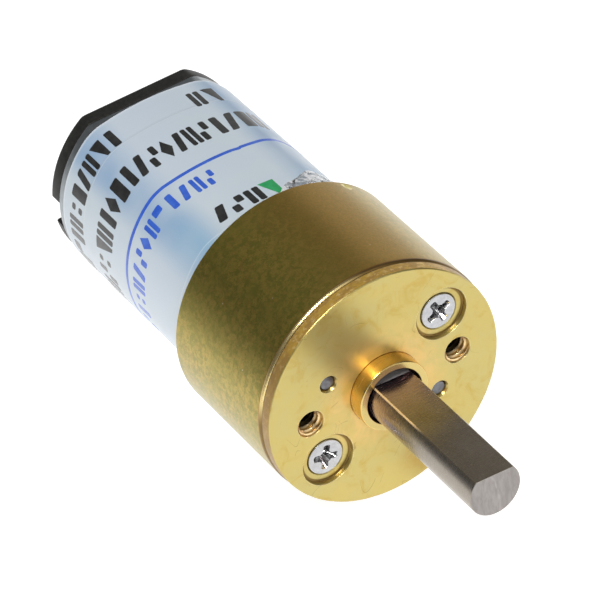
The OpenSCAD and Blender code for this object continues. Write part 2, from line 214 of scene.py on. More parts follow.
# ---------------------------------------------------------------- materials
class Paint:
    """A short way to write a node material. Positions are object coordinates in millimetres."""

    def __init__(self, name):
        self.mat = bpy.data.materials.new(name)
        self.mat.use_nodes = True
        self.t = self.mat.node_tree
        self.t.nodes.clear()
        self.out = self.t.nodes.new("ShaderNodeOutputMaterial")
        self.bsdf = self.t.nodes.new("ShaderNodeBsdfPrincipled")
        self.link(self.bsdf.outputs[0], self.out.inputs[0])
        co = self.t.nodes.new("ShaderNodeTexCoord")
        s = self.t.nodes.new("ShaderNodeVectorMath")
        s.operation = "SCALE"
        s.inputs["Scale"].default_value = 1000
        self.link(co.outputs["Object"], s.inputs[0])
        self.mm = s.outputs[0]
        self.bump_in = None

    def link(self, a, b):
        self.t.links.new(a, b)

    def put(self, socket, value):
        if value is None:
            return
        if hasattr(value, "is_output"):
            self.link(value, socket)
        else:
            socket.default_value = value

    def math(self, op, a, b=None, c=None, clamp=False):
        n = self.t.nodes.new("ShaderNodeMath")
        n.operation, n.use_clamp = op, clamp
        for s, v in zip(n.inputs, (a, b, c)):
            self.put(s, v)
        return n.outputs[0]

    def vec(self, scale, offset=(0, 0, 0)):
        n = self.t.nodes.new("ShaderNodeMapping")
        self.link(self.mm, n.inputs["Vector"])
        n.inputs["Scale"].default_value = scale
        n.inputs["Location"].default_value = offset
        return n.outputs[0]

    def noise(self, scale, detail=4, rough=0.55, distortion=0.0, vec=None):
        n = self.t.nodes.new("ShaderNodeTexNoise")
        self.link(vec if vec is not None else self.mm, n.inputs["Vector"])
        n.inputs["Scale"].default_value = scale
        n.inputs["Detail"].default_value = detail
        n.inputs["Roughness"].default_value = rough
        n.inputs["Distortion"].default_value = distortion
        return n.outputs["Fac"]

    def voronoi(self, scale, vec=None, feature="F1"):
        n = self.t.nodes.new("ShaderNodeTexVoronoi")
        n.feature = feature
        self.link(vec if vec is not None else self.mm, n.inputs["Vector"])
        n.inputs["Scale"].default_value = scale
        return n.outputs["Distance"]

    def span(self, value, a, b, c=0.0, d=1.0):
        n = self.t.nodes.new("ShaderNodeMapRange")
        n.interpolation_type = "SMOOTHSTEP"
        self.put(n.inputs["Value"], value)
        for k, v in (("From Min", a), ("From Max", b), ("To Min", c), ("To Max", d)):
            n.inputs[k].default_value = v
        return n.outputs[0]

    def mix(self, fac, a, b, blend="MIX"):
        n = self.t.nodes.new("ShaderNodeMix")
        n.data_type, n.blend_type = "RGBA", blend
        self.put(n.inputs[0], fac)
        for s, v in ((n.inputs[6], a), (n.inputs[7], b)):
            self.put(s, (*v, 1) if isinstance(v, tuple) and len(v) == 3 else v)
        return n.outputs[2]

    def xyz(self):
        n = self.t.nodes.new("ShaderNodeSeparateXYZ")
        self.link(self.mm, n.inputs[0])
        return n.outputs

    def bump(self, height, strength, distance):
        n = self.t.nodes.new("ShaderNodeBump")
        n.inputs["Strength"].default_value = strength
        n.inputs["Distance"].default_value = distance * MM
        self.put(n.inputs["Height"], height)
        if self.bump_in is not None:
            self.link(self.bump_in, n.inputs["Normal"])
        self.bump_in = n.outputs[0]
        self.link(self.bump_in, self.bsdf.inputs["Normal"])

    def set(self, **kw):
        names = {"color": "Base Color", "rough": "Roughness", "metal": "Metallic", "coat": "Coat Weight",
                 "coat_rough": "Coat Roughness", "ior": "IOR", "sss": "Subsurface Weight", "alpha": "Alpha",
                 "spec": "Specular IOR Level", "trans": "Transmission Weight", "aniso": "Anisotropic"}
        for k, v in kw.items():
            if k == "color" and isinstance(v, tuple) and len(v) == 3:
                v = (*v, 1)
            self.put(self.bsdf.inputs[names[k]], v)
        return self


def srgb(r, g, b):
    f = lambda c: (c / 255) / 12.92 if c <= 10 else (((c / 255) + 0.055) / 1.055) ** 2.4
    return f(r), f(g), f(b)


def edge_wear_and_highlight(p, radius=0.035):
    """Near 1 where the surface turns a sharp edge, and 0 elsewhere."""
    v = p.t.nodes.new("ShaderNodeBevel")
    v.samples = 4
    v.inputs["Radius"].default_value = radius * MM
    g = p.t.nodes.new("ShaderNodeNewGeometry")
    d = p.t.nodes.new("ShaderNodeVectorMath")
    d.operation = "DOT_PRODUCT"
    p.link(v.outputs[0], d.inputs[0])
    p.link(g.outputs["Normal"], d.inputs[1])
    return p.span(d.outputs["Value"], 0.90, 0.985, 1, 0)


def metal(name, base, light, dark, rough=0.35, rough_var=0.12, grain=6.0, grain_bump=0.12, stain=0.7,
          turned=None, aniso=0.0, edge=False, shade=None):
    """A machined metal: cloudy tarnish, fine grain and, where asked, cutting marks along or round an axis."""
    p = Paint(name)
    cloud = p.noise(stain, 5, 0.6, 0.4)
    fine = p.noise(grain, 3, 0.6)
    c = p.mix(p.span(cloud, 0.35, 0.65), base, light)
    c = p.mix(p.span(p.noise(stain * 2.3, 5, 0.65, 0.8, p.vec((1, 1, 1), (7, 3, 5))), 0.52, 0.75, 0, 0.7), c, dark)
    c = p.mix(p.span(fine, 0.3, 0.7, 0.0, 0.18), c, dark)
    if edge:
        c = p.mix(p.math("MULTIPLY", edge_wear_and_highlight(p), 0.35), c, light)
    r = p.math("ADD", rough - rough_var / 2, p.math("MULTIPLY", cloud, rough_var))
    if turned is not None:
        lines = p.noise(1.0, 2, 0.5, 0.0, p.vec(turned))
        r = p.math("ADD", r, p.math("MULTIPLY", p.math("SUBTRACT", lines, 0.5), 0.16))
        p.bump(lines, 0.10, 0.01)
    p.bump(fine, grain_bump, 0.01)
    if shade:
        c = shade(p, c)
    return p.set(color=c, metal=1.0, rough=r, aniso=aniso)


def radius_from(p, cy=0.0, cz=0.0):
    x, y, z = p.xyz()
    dy, dz = p.math("SUBTRACT", y, cy), p.math("SUBTRACT", z, cz)
    return p.math("SQRT", p.math("ADD", p.math("MULTIPLY", dy, dy), p.math("MULTIPLY", dz, dz)))


def bush_shade(p, c):
    """A paler faced end, and painted shade inside the bush's bore."""
    c = p.mix(p.span(p.xyz()[0], 0.955, 0.975), c, (0.64, 0.50, 0.19))
    # painted shade: the bore inside the bush is painted near black
    return p.mix(p.span(radius_from(p), 1.70, 1.64), c, (0.060, 0.052, 0.040))


def recess_painted_shade_and_glints(p, c):
    """Painted shade and highlights down in the cross recess: patches of near black and pale grey below x = -0.32."""
    x = p.xyz()[0]
    facet = p.mix(p.span(p.noise(3.4, 2, 0.5, 0.8), 0.47, 0.53), (0.115, 0.115, 0.12), (0.60, 0.60, 0.60))
    return p.mix(p.span(x, -0.32, -0.46), c, facet)


# Tumbled brass of the gearbox tube: olive and brown mottling under a thin lacquer, finely speckled.
def tube_brass():
    p = Paint("tumbled_brass")
    x, y, z = p.xyz()
    mottle = p.noise(2.6, 5, 0.78, 0.3)
    patch = p.noise(2.9, 4, 0.7, 0.3, p.vec((1, 1, 1), (9, 4, 7)))
    fine = p.noise(8.0, 4, 0.75)
    cloud = p.noise(0.50, 4, 0.6, 0.6)
    c = p.mix(p.span(mottle, 0.42, 0.58), (0.285, 0.250, 0.030), (0.505, 0.370, 0.066))
    c = p.mix(p.span(patch, 0.50, 0.66, 0, 0.6), c, (0.51, 0.31, 0.060))
    c = p.mix(p.span(cloud, 0.40, 0.66, 0, 0.45), c, (0.365, 0.315, 0.048))
    # painted light: the tube is painted warmer and brighter towards +y, most near y = 2, less beyond y = 5
    painted_side_light = p.math("MULTIPLY", p.span(y, -3.2, 1.8, 0, 0.85), p.span(y, 2.4, 5.0, 1, 0.25))
    c = p.mix(painted_side_light, c, (0.60, 0.335, 0.055))
    c = p.mix(p.span(fine, 0.42, 0.60, 0, 0.35), c, (0.29, 0.24, 0.035))
    # a few bright nicks
    nick = p.span(p.voronoi(0.95, p.vec((1, 1, 1), (2, 5, 3))), 0.0, 0.055, 1, 0)
    c = p.mix(p.math("MULTIPLY", nick, 0.9), c, (0.98, 0.90, 0.62))
    # painted highlight: the front lip is painted bright gold along the upper left and dark brown elsewhere, with a
    # dark coppery line just behind it
    lip = p.span(x, -0.99, -0.94)
    lip_painted_highlight = p.math("MULTIPLY", p.span(y, 0.4, -2.0), p.span(z, 0.6, 2.8))
    c = p.mix(p.math("MULTIPLY", p.span(p.math("ABSOLUTE", p.math("SUBTRACT", x, -0.985)), 0.0, 0.06, 1, 0), 0.85), c, (0.40, 0.16, 0.02))
    c = p.mix(p.math("MULTIPLY", lip, 0.9), c, p.mix(lip_painted_highlight, (0.20, 0.115, 0.03), (1.0, 0.78, 0.34)))
    lip = p.math("MULTIPLY", lip, lip_painted_highlight)
    # painted highlight: the two staking dimples are painted bright gold, and made less metallic, so they catch the
    # light
    dim = 0
    for i, ang in enumerate((54, 234)):
        cy, cz = polar(R_BOX, ang)
        u = p.math("SUBTRACT", x, -8.88)
        v, w = p.math("SUBTRACT", y, cy), p.math("SUBTRACT", z, cz)
        d = p.math("SQRT", p.math("ADD", p.math("MULTIPLY", u, u), p.math("ADD", p.math("MULTIPLY", v, v), p.math("MULTIPLY", w, w))))
        m = p.span(d, 0.26, 0.34, 1, 0)
        dim = m if i == 0 else p.math("MAXIMUM", dim, m)
    c = p.mix(dim, c, (0.98, 0.84, 0.34))
    shine = p.math("MAXIMUM", lip, dim)
    r = p.math("ADD", 0.31, p.math("MULTIPLY", fine, 0.14))
    r = p.math("SUBTRACT", r, p.math("MULTIPLY", shine, 0.15))
    p.bump(fine, 0.35, 0.012)
    p.bump(mottle, 0.25, 0.02)
    return p.set(color=c, metal=p.math("SUBTRACT", 1.0, p.math("MULTIPLY", dim, 0.6)), rough=r, coat=0.5, coat_rough=0.30).mat


def hairline(p, scale, offset, width, patch, lo=0.56, hi=0.60):
    """A long thin wandering line: where a smooth noise crosses its middle, in patches."""
    n = p.noise(scale, 1.0, 0.5, 0.8, p.vec((1, 1, 1), offset))
    line = p.span(p.math("ABSOLUTE", p.math("SUBTRACT", n, 0.5)), 0, width, 1, 0)
    where = p.span(p.noise(patch, 1, 0.5, 0, p.vec((1, 1, 1), (offset[2], offset[0], offset[1]))), lo, hi)
    return p.math("MULTIPLY", line, where)


# Satin yellow brass of the face plate, with hairline scratches, finger stains and a coppery rim.
def plate_brass():
    p = Paint("face_brass")
    x, y, z = p.xyz()
    cloud = p.noise(0.42, 5, 0.6, 0.5)
    fine = p.noise(5.0, 4, 0.65)
    stain = p.noise(0.80, 6, 0.62, 0.9, p.vec((1, 1, 1), (3, 8, 1)))
    c = p.mix(p.span(cloud, 0.35, 0.66), (0.580, 0.462, 0.152), (0.560, 0.470, 0.178))
    c = p.mix(p.span(stain, 0.48, 0.70, 0, 0.75), c, (0.52, 0.365, 0.085))
    c = p.mix(p.span(fine, 0.40, 0.68, 0, 0.14), c, (0.56, 0.46, 0.19))
    hair = p.math("MAXIMUM", hairline(p, 0.20, (4, 1, 9), 0.0022, 0.55), hairline(p, 0.27, (9, 5, 2), 0.0026, 0.7))
    hair = p.math("MAXIMUM", hair, hairline(p, 0.40, (2, 7, 6), 0.0030, 0.9, 0.60, 0.63))
    c = p.mix(p.math("MULTIPLY", hair, 0.6), c, (0.26, 0.19, 0.06))
    # painted reflection: the face round the boss is painted a brighter orange, where it mirrors the boss
    rr = radius_from(p)
    near = p.math("MULTIPLY", p.span(rr, 2.05, 4.5, 1, 0), p.span(p.noise(0.8, 4, 0.6, 0.8), 0.34, 0.66, 0.25, 1))
    c = p.mix(p.math("MULTIPLY", near, 0.68), c, (0.86, 0.55, 0.19))
    # brown patches where a finger or flux has marked it
    for cy, cz, size, f in ((1.4, -5.4, 1.6, 0.65), (-4.9, -3.0, 1.2, 0.25)):
        k = radius_from(p, cy, cz)
        m = p.math("MULTIPLY", p.span(k, 0.15 * size, size, f, 0), p.span(p.noise(1.1, 4, 0.6, 0.8, p.vec((1, 1, 1), (5, 5, 1))), 0.36, 0.60, 0.35, 1))
        c = p.mix(m, c, (0.50, 0.29, 0.06))
    # the rim's side wall is coppery and mottled
    band = p.math("MULTIPLY", p.span(rr, 6.86, 6.92), p.span(x, -0.05, -0.09))
    m1 = p.noise(1.6, 4, 0.65, 0.5, p.vec((2.2, 1, 1)))
    rim = p.mix(p.span(m1, 0.40, 0.60), (0.62, 0.37, 0.055), (0.46, 0.26, 0.060))
    rim = p.mix(p.span(p.noise(3.6, 3, 0.6, 0.3, p.vec((1.5, 1, 1), (4, 4, 4))), 0.52, 0.66, 0, 0.55), rim, (0.95, 0.70, 0.30))
    # painted shade: the rim is painted darker towards the bottom, below z = 5.7
    rim = p.mix(p.span(z, 5.7, 3.6, 0, 0.70), rim, (0.27, 0.15, 0.045))
    # painted shade: darker still at the back, where the rim meets the tube
    rim = p.mix(p.span(x, -0.66, -0.73), rim, (0.12, 0.06, 0.015))
    c = p.mix(p.math("MULTIPLY", band, 0.92), c, rim)
    # sharp edges painted near white: edge wear and painted highlight
    c = p.mix(p.math("MULTIPLY", edge_wear_and_highlight(p), 0.80), c, (1.0, 0.90, 0.58))
    # painted highlight and shade: the threads get painted bright crests and dark roots, and the holes deeper down,
    # with the plate's inside below x = -0.56, are painted near black
    kk = p.math("MINIMUM", radius_from(p, 4.5, 0), radius_from(p, -4.5, 0))
    tapped = p.math("MULTIPLY", p.span(kk, 0.86, 0.82), p.span(x, -0.02, -0.05))
    c = p.mix(p.math("MULTIPLY", tapped, 0.9), c, p.mix(p.span(kk, 0.665, 0.735), (1.0, 0.74, 0.40), (0.36, 0.19, 0.045)))
    hole = p.math("MULTIPLY", p.span(rr, 6.80, 6.75), p.math("MAXIMUM", p.span(x, -0.56, -0.86), p.math("MULTIPLY", p.span(kk, 0.90, 0.96), p.span(x, -0.30, -0.62))))
    c = p.mix(hole, c, (0.020, 0.013, 0.004))
    # painted shade: the corner of each counterbore and a ring round each pin are painted dark brown
    painted_shade_rings = 0
    for i, (r_, a_, _) in enumerate(SCREWS):
        k = radius_from(p, *polar(r_, a_))
        m = p.math("MULTIPLY", p.span(p.math("ABSOLUTE", p.math("SUBTRACT", k, 1.44)), 0.05, 0.13, 1, 0), p.span(x, -0.15, -0.24))
        painted_shade_rings = m if i == 0 else p.math("MAXIMUM", painted_shade_rings, m)
    for r_, a_ in PINS:
        k = radius_from(p, *polar(r_, a_))
        painted_shade_rings = p.math("MAXIMUM", painted_shade_rings, p.math("MULTIPLY", p.span(k, 0.50, 0.44), p.span(x, -0.07, -0.12)))
    c = p.mix(p.math("MULTIPLY", painted_shade_rings, 0.85), c, (0.16, 0.085, 0.02))
    r = p.math("ADD", p.math("ADD", 0.25, p.math("MULTIPLY", cloud, 0.13)), p.math("MULTIPLY", hair, 0.15))
    r = p.math("ADD", r, p.math("MULTIPLY", p.math("MULTIPLY", band, m1), 0.12))
    p.bump(fine, 0.07, 0.01)
    p.bump(p.noise(1.6, 3, 0.5), 0.10, 0.03)
    p.bump(p.math("MULTIPLY", m1, band), 0.32, 0.03)
    p.bump(p.math("MULTIPLY", hair, -1), 0.25, 0.008)
    soft = p.math("MAXIMUM", p.math("MULTIPLY", band, 0.45), p.math("MULTIPLY", p.math("MULTIPLY", near, p.span(x, -0.04, -0.02)), 0.32))
    return p.set(color=c, metal=p.math("SUBTRACT", 0.90, soft), rough=r).mat


def steel_shaft():
    p = Paint("ground_shaft_steel")
    x, y, z = p.xyz()
    # heights above the axis square to the flat, and across it
    up = p.math("ADD", p.math("MULTIPLY", z, math.cos(rad(FLAT_TURN))), p.math("MULTIPLY", y, -math.sin(rad(FLAT_TURN))))
    side = p.math("ADD", p.math("MULTIPLY", y, math.cos(rad(FLAT_TURN))), p.math("MULTIPLY", z, math.sin(rad(FLAT_TURN))))
    along = p.noise(1.0, 3, 0.6, 0.1, p.vec((0.30, 11, 11)))
    across = p.noise(1.0, 3, 0.6, 0.0, p.vec((9, 0.7, 0.7)))
    cloud = p.noise(0.6, 5, 0.6, 0.5)
    c = p.mix(p.span(cloud, 0.35, 0.65), (0.365, 0.305, 0.225), (0.42, 0.36, 0.28))
    c = p.mix(p.span(across, 0.35, 0.7, 0, 0.18), c, (0.33, 0.27, 0.19))
    c = p.mix(p.span(along, 0.45, 0.7, 0, 0.22), c, (0.49, 0.43, 0.36))
    # the ground round is greyer and darker than the milled flat
    round_ = p.span(up, FLAT_H - 0.02, FLAT_H - 0.12)
    c = p.mix(p.math("MULTIPLY", round_, 0.75), c, (0.315, 0.287, 0.255))
    # a pinkish tint near the boss, fading out by x = 5
    c = p.mix(p.span(x, 0.8, 5.0, 0.70, 0.0), c, (0.70, 0.500, 0.600))
    # painted highlight: a bright gold, less metallic line along the flat's lower edge, where it leaves the boss
    du = p.math("ABSOLUTE", p.math("SUBTRACT", up, FLAT_H - 0.005))
    dv = p.math("ABSOLUTE", p.math("ADD", side, math.sqrt(SHAFT_R ** 2 - FLAT_H ** 2)))
    line = p.math("MULTIPLY", p.span(du, 0.030, 0.060, 1, 0), p.span(dv, 0.035, 0.065, 1, 0))
    line = p.math("MULTIPLY", p.math("MULTIPLY", line, p.span(x, 4.2, 5.6, 1, 0)), p.span(x, 0.74, 0.86))
    c = p.mix(line, c, (0.98, 0.66, 0.30))
    # the end face keeps the pale grey of the saw cut, with faint arcs
    tip = p.span(x, 10.215, 10.24)
    swirl = p.noise(1.0, 3, 0.6, 0.6, p.vec((1, 4, 1.1)))
    arc = p.math("SQRT", p.math("ADD", p.math("POWER", p.math("ADD", y, 4.0), 2.0), p.math("POWER", p.math("ADD", z, 0.6), 2.0)))
    arc = p.span(p.math("ABSOLUTE", p.math("SUBTRACT", arc, 4.15)), 0.0, 0.10, 1, 0)
    tipc = p.mix(p.span(swirl, 0.3, 0.7), (0.300, 0.275, 0.260), (0.375, 0.350, 0.335))
    tipc = p.mix(p.math("MULTIPLY", arc, p.span(swirl, 0.35, 0.6, 0.2, 0.7)), tipc, (0.46, 0.43, 0.41))
    c = p.mix(tip, c, tipc)
    # edges painted lighter, most at the tip: edge wear and painted highlight
    c = p.mix(p.math("MULTIPLY", edge_wear_and_highlight(p, 0.03), p.span(x, 10.0, 10.15, 0.5, 0.9)), c, (0.82, 0.76, 0.66))
    r = p.math("ADD", 0.20, p.math("MULTIPLY", across, 0.14))
    r = p.math("ADD", r, p.math("MULTIPLY", tip, 0.20))
    r = p.math("SUBTRACT", r, p.span(x, 0.90, 0.70, 0, 0.14))
    p.bump(across, 0.05, 0.01)
    p.bump(along, 0.07, 0.01)
    p.bump(p.math("MULTIPLY", swirl, tip), 0.3, 0.015)
    # painted light: the round stub where the flat starts, in the bush mouth, is painted pale grey and less metallic so
    # it shows lit
    step = p.math("MULTIPLY", p.span(x, 0.80, 0.74), p.math("MULTIPLY", p.span(up, FLAT_H - 0.05, FLAT_H), p.span(x, 0.10, 0.20)))
    c = p.mix(p.math("MULTIPLY", step, 0.9), c, (0.66, 0.65, 0.64))
    metal_ = p.math("SUBTRACT", 1.0, p.math("MAXIMUM", p.math("MULTIPLY", line, 0.75), p.math("MULTIPLY", step, 0.45)))
    return p.set(color=c, metal=metal_, rough=r, aniso=0.2).mat


def label_film():
    p = Paint("label_film")
    x, y, z = p.xyz()
    cloud = p.noise(0.20, 3, 0.5, 0.3)
    c = p.mix(p.span(cloud, 0.36, 0.66), (0.600, 0.680, 0.760), (0.615, 0.695, 0.750))
    # the film looks bluer where it bridges the corners between the round sides and the flats
    t = p.math("DIVIDE", p.math("ABSOLUTE", z), p.math("MAXIMUM", p.math("ABSOLUTE", y), 0.01))
    ang = p.math("ARCTANGENT", t)
    off = p.math("ABSOLUTE", p.math("SUBTRACT", ang, rad(47)))
    tint = p.math("SMOOTH_MIN", p.span(off, 0.0, 0.36, 1.1, 0), 1.0)
    tint = p.math("MULTIPLY", tint, p.span(p.noise(0.22, 2, 0.4, 0.3), 0.38, 0.60, 0.55, 1.0))
    c = p.mix(p.math("MULTIPLY", tint, 0.88), c, (0.235, 0.395, 0.605))
    c = p.mix(p.math("MULTIPLY", tint, p.span(x, -14.5, -11.0, 0, 0.6)), c, (0.30, 0.52, 0.68))
    # pale lines where one layer of film ends over the other
    for at, w, f in ((-20.70, 0.05, 0.55), (-10.60, 0.05, 0.35)):
        line = p.span(p.math("ABSOLUTE", p.math("SUBTRACT", x, at)), 0.0, w, f, 0.0)
        c = p.mix(line, c, (0.80, 0.84, 0.88))
    rim = p.span(x, -22.98, -22.80, 0.6, 0.0)
    c = p.mix(rim, c, (0.80, 0.85, 0.90))
    dust = p.span(p.voronoi(1.9), 0.0, 0.05, 0.6, 0.0)
    c = p.mix(dust, c, (0.82, 0.85, 0.88))
    p.bump(p.noise(0.55, 2, 0.5, 0.3), 0.12, 0.08)
    p.bump(p.noise(6.0, 3, 0.6), 0.03, 0.01)
    r = p.math("ADD", 0.26, p.math("MULTIPLY", p.noise(0.9, 3, 0.5), 0.16))
    p.set(color=c, rough=r, ior=1.42, coat=0.35, coat_rough=0.18)
    return p.mat


def ink(name, base, light):
    p = Paint(name)
    c = p.mix(p.span(p.noise(2.0, 4, 0.6), 0.35, 0.7), base, light)
    c = p.mix(p.span(p.noise(14.0, 2, 0.6), 0.60, 0.75, 0, 0.25), c, light)
    p.bump(p.noise(7.0, 2, 0.5), 0.05, 0.01)
    return p.set(color=c, rough=p.math("ADD", 0.30, p.math("MULTIPLY", p.noise(3.0), 0.12)), coat=0.6, coat_rough=0.16).mat


def clear_film():
    p = Paint("clear_film_edge")
    x, y, z = p.xyz()
    creases = p.noise(1.0, 3, 0.55, 1.0)
    sharp = p.span(creases, 0.46, 0.54)
    n = p.noise(0.85, 3, 0.55, 1.2, p.vec((1, 1, 1), (1, 6, 2)))
    fleck = p.span(p.math("ABSOLUTE", p.math("SUBTRACT", n, 0.5)), 0.012, 0.030, 1, 0)
    fleck = p.math("MULTIPLY", fleck, p.span(p.noise(0.9, 2, 0.5, 0.5, p.vec((1, 1, 1), (8, 2, 6))), 0.49, 0.55))
    # the crease ridges are painted near white over grey: film tone with painted highlights
    c = p.mix(sharp, (0.50, 0.53, 0.55), (0.95, 0.97, 0.99))
    c = p.mix(fleck, c, (0.030, 0.030, 0.026))
    p.bump(creases, 0.9, 0.22)
    p.bump(p.noise(2.6, 3, 0.6, 0.8), 0.5, 0.08)
    alpha = p.math("ADD", p.math("ADD", 0.40, p.math("MULTIPLY", sharp, 0.38)), p.math("MULTIPLY", fleck, 0.6), clamp=True)
    return p.set(color=c, rough=0.10, metal=p.math("MULTIPLY", p.span(creases, 0.40, 0.56, 1, 0), 0.5), alpha=alpha, coat=1.0, coat_rough=0.05).mat


def black_plastic():
    p = Paint("black_plastic")
    g = p.noise(5.0, 4, 0.6)
    c = p.mix(p.span(g, 0.35, 0.7), (0.013, 0.013, 0.011), (0.024, 0.023, 0.020))
    c = p.mix(p.span(p.noise(0.8, 4, 0.6, 0.5), 0.5, 0.75, 0, 0.6), c, (0.040, 0.039, 0.034))
    # rounded edges painted lighter: edge wear and painted highlight
    c = p.mix(p.math("MULTIPLY", edge_wear_and_highlight(p, 0.06), 0.5), c, (0.10, 0.10, 0.09))
    p.bump(g, 0.25, 0.02)
    p.bump(p.noise(24.0, 2, 0.5), 0.12, 0.006)
    return p.set(color=c, rough=p.math("ADD", 0.34, p.math("MULTIPLY", g, 0.2)), ior=1.45, spec=0.4).mat


def plain_plastic(name, a, b):
    p = Paint(name)
    g = p.noise(4.0, 4, 0.6)
    c = p.mix(p.span(g, 0.3, 0.7), a, b)
    p.bump(g, 0.2, 0.02)
    return p.set(color=c, rough=p.math("ADD", 0.35, p.math("MULTIPLY", g, 0.2))).mat


def wound_copper():
    """Enamelled wire laid side by side along the coil."""
    p = Paint("wound_copper")
    x, y, z = p.xyz()
    w = p.t.nodes.new("ShaderNodeTexWave")
    w.bands_direction = "Y"
    p.link(p.mm, w.inputs["Vector"])
    w.inputs["Scale"].default_value = 2.4
    w.inputs["Distortion"].default_value = 0.6
    w.inputs["Detail"].default_value = 2
    h = w.outputs["Fac"]
    c = p.mix(h, (0.28, 0.09, 0.03), (0.72, 0.30, 0.12))
    c = p.mix(p.span(p.noise(1.2), 0.4, 0.7, 0, 0.4), c, (0.50, 0.17, 0.06))
    p.bump(h, 0.6, 0.06)
    return p.set(color=c, metal=0.85, rough=p.math("ADD", 0.28, p.math("MULTIPLY", p.noise(3.0), 0.12)), coat=0.4, coat_rough=0.1).mat


def ferrite():
    p = Paint("ferrite")
    g = p.noise(3.5, 5, 0.65)
    c = p.mix(p.span(g, 0.3, 0.7), (0.028, 0.028, 0.031), (0.065, 0.065, 0.070))
    c = p.mix(p.span(p.noise(12.0, 3, 0.6), 0.58, 0.7, 0, 0.5), c, (0.14, 0.14, 0.15))
    p.bump(g, 0.35, 0.03)
    return p.set(color=c, rough=p.math("ADD", 0.55, p.math("MULTIPLY", g, 0.2))).mat


def laminations():
    p = Paint("laminated_steel")
    x, y, z = p.xyz()
    saw = p.math("FRACT", p.math("MULTIPLY", x, 2.5))
    gap = p.span(saw, 0.0, 0.12, 1, 0)
    g = p.noise(4.0, 4, 0.6)
    c = p.mix(p.span(g, 0.3, 0.7), (0.28, 0.285, 0.30), (0.42, 0.425, 0.44))
    c = p.mix(p.math("MULTIPLY", gap, 0.8), c, (0.05, 0.05, 0.05))
    p.bump(p.math("SUBTRACT", 1.0, gap), 0.6, 0.03)
    p.bump(g, 0.15, 0.01)
    return p.set(color=c, metal=0.9, rough=p.math("ADD", 0.32, p.math("MULTIPLY", g, 0.2))).mat


M = {
    "tube": tube_brass(),
    "plate": plate_brass(),
    "shaft": steel_shaft(),
    "label": label_film(),
    "black_ink": ink("black_ink", (0.010, 0.010, 0.010), (0.028, 0.027, 0.026)),
    "blue_ink": ink("blue_ink", (0.025, 0.110, 0.62), (0.05, 0.16, 0.68)),
    "green_ink": ink("green_ink", (0.012, 0.34, 0.095), (0.03, 0.42, 0.14)),
    "film": clear_film(),
    "black": black_plastic(),
    "bush": metal("bush_brass", (0.80, 0.52, 0.15), (0.84, 0.60, 0.22), (0.66, 0.40, 0.10), 0.24, 0.08, 7, 0.03, 0.9, (8, 0.3, 0.3), edge=True, shade=bush_shade).mat,
    "screw": metal("zinc_screw", (0.47, 0.475, 0.49), (0.55, 0.555, 0.57), (0.40, 0.40, 0.42), 0.20, 0.12, 9, 0.08, 2.2, edge=True, shade=recess_painted_shade_and_glints).mat,
    "pin": metal("pin_steel", (0.155, 0.155, 0.165), (0.21, 0.21, 0.225), (0.10, 0.10, 0.105), 0.32, 0.12, 10, 0.2, 2.0).mat,
    "can": metal("plated_can", (0.33, 0.36, 0.38), (0.42, 0.455, 0.475), (0.22, 0.24, 0.25), 0.36, 0.14, 4, 0.1, 0.5).mat,
    "rear": metal("rear_plate_brass", (0.70, 0.57, 0.24), (0.78, 0.65, 0.30), (0.48, 0.36, 0.12), 0.34, 0.12, 5, 0.1, 0.6).mat,
    "gear": metal("cut_gear_brass", (0.76, 0.60, 0.24), (0.86, 0.72, 0.34), (0.52, 0.38, 0.12), 0.26, 0.12, 8, 0.1, 1.0, (9, 1, 1)).mat,
    "pinion": metal("cut_pinion_steel", (0.46, 0.47, 0.49), (0.60, 0.61, 0.63), (0.30, 0.30, 0.31), 0.28, 0.12, 9, 0.1, 1.2, (9, 1, 1)).mat,
    "spacer": metal("turned_brass", (0.76, 0.62, 0.28), (0.84, 0.72, 0.36), (0.50, 0.38, 0.14), 0.30, 0.1, 8, 0.1, 1.0, (12, 0.3, 0.3)).mat,
    "washer": metal("washer_steel", (0.60, 0.59, 0.57), (0.72, 0.71, 0.69), (0.40, 0.39, 0.38), 0.3, 0.1, 8, 0.1, 1.0).mat,
    "bronze": metal("sintered_bronze", (0.50, 0.32, 0.15), (0.60, 0.40, 0.20), (0.30, 0.18, 0.08), 0.5, 0.16, 14, 0.5, 1.2).mat,
    "copper": metal("bare_copper", (0.76, 0.38, 0.20), (0.86, 0.50, 0.30), (0.48, 0.22, 0.10), 0.26, 0.12, 8, 0.1, 1.2).mat,
    "spring": metal("spring_steel", (0.55, 0.56, 0.58), (0.68, 0.69, 0.71), (0.36, 0.36, 0.38), 0.26, 0.1, 7, 0.08, 0.9).mat,
    "tin": metal("tinned_brass", (0.72, 0.66, 0.50), (0.82, 0.79, 0.68), (0.50, 0.42, 0.26), 0.30, 0.14, 7, 0.15, 1.2).mat,
    "red": plain_plastic("red_insulator", (0.36, 0.055, 0.035), (0.46, 0.085, 0.055)),
    "hub": plain_plastic("brown_moulding", (0.17, 0.030, 0.016), (0.25, 0.048, 0.026)),
    "wound": wound_copper(),
    "ferrite": ferrite(),
    "core": laminations(),
}

CAD_LOOK = {
    "rear_plate": "rear", "spacer_pillars": "spacer", "axle_spacers": "spacer", "motor_screws": "screw",
    "output_gear": "gear", "thrust_washer": "washer",
    "first_cluster_gear": "gear", "first_idler_gear": "gear", "second_cluster_gear": "gear",
    "second_idler_gear": "gear", "third_cluster_gear": "gear",
    "first_cluster_pinion": "pinion", "first_idler_pinion": "pinion", "second_cluster_pinion": "pinion",
    "second_idler_pinion": "pinion", "third_cluster_pinion": "pinion",
    "motor_pinion": "gear", "motor_shaft": "spring", "rotor_core": "core", "rotor_windings": "wound",
    "winding_insulators": "red", "commutator_hub": "hub", "commutator_segments": "copper",
    "front_bearing": "bronze", "rear_bearing": "bronze", "magnets": "ferrite", "magnet_springs": "spring",
    "brushes": "copper",
}
for node, look in CAD_LOOK.items():
    NODES[node].data.materials.clear()
    NODES[node].data.materials.append(M[look])


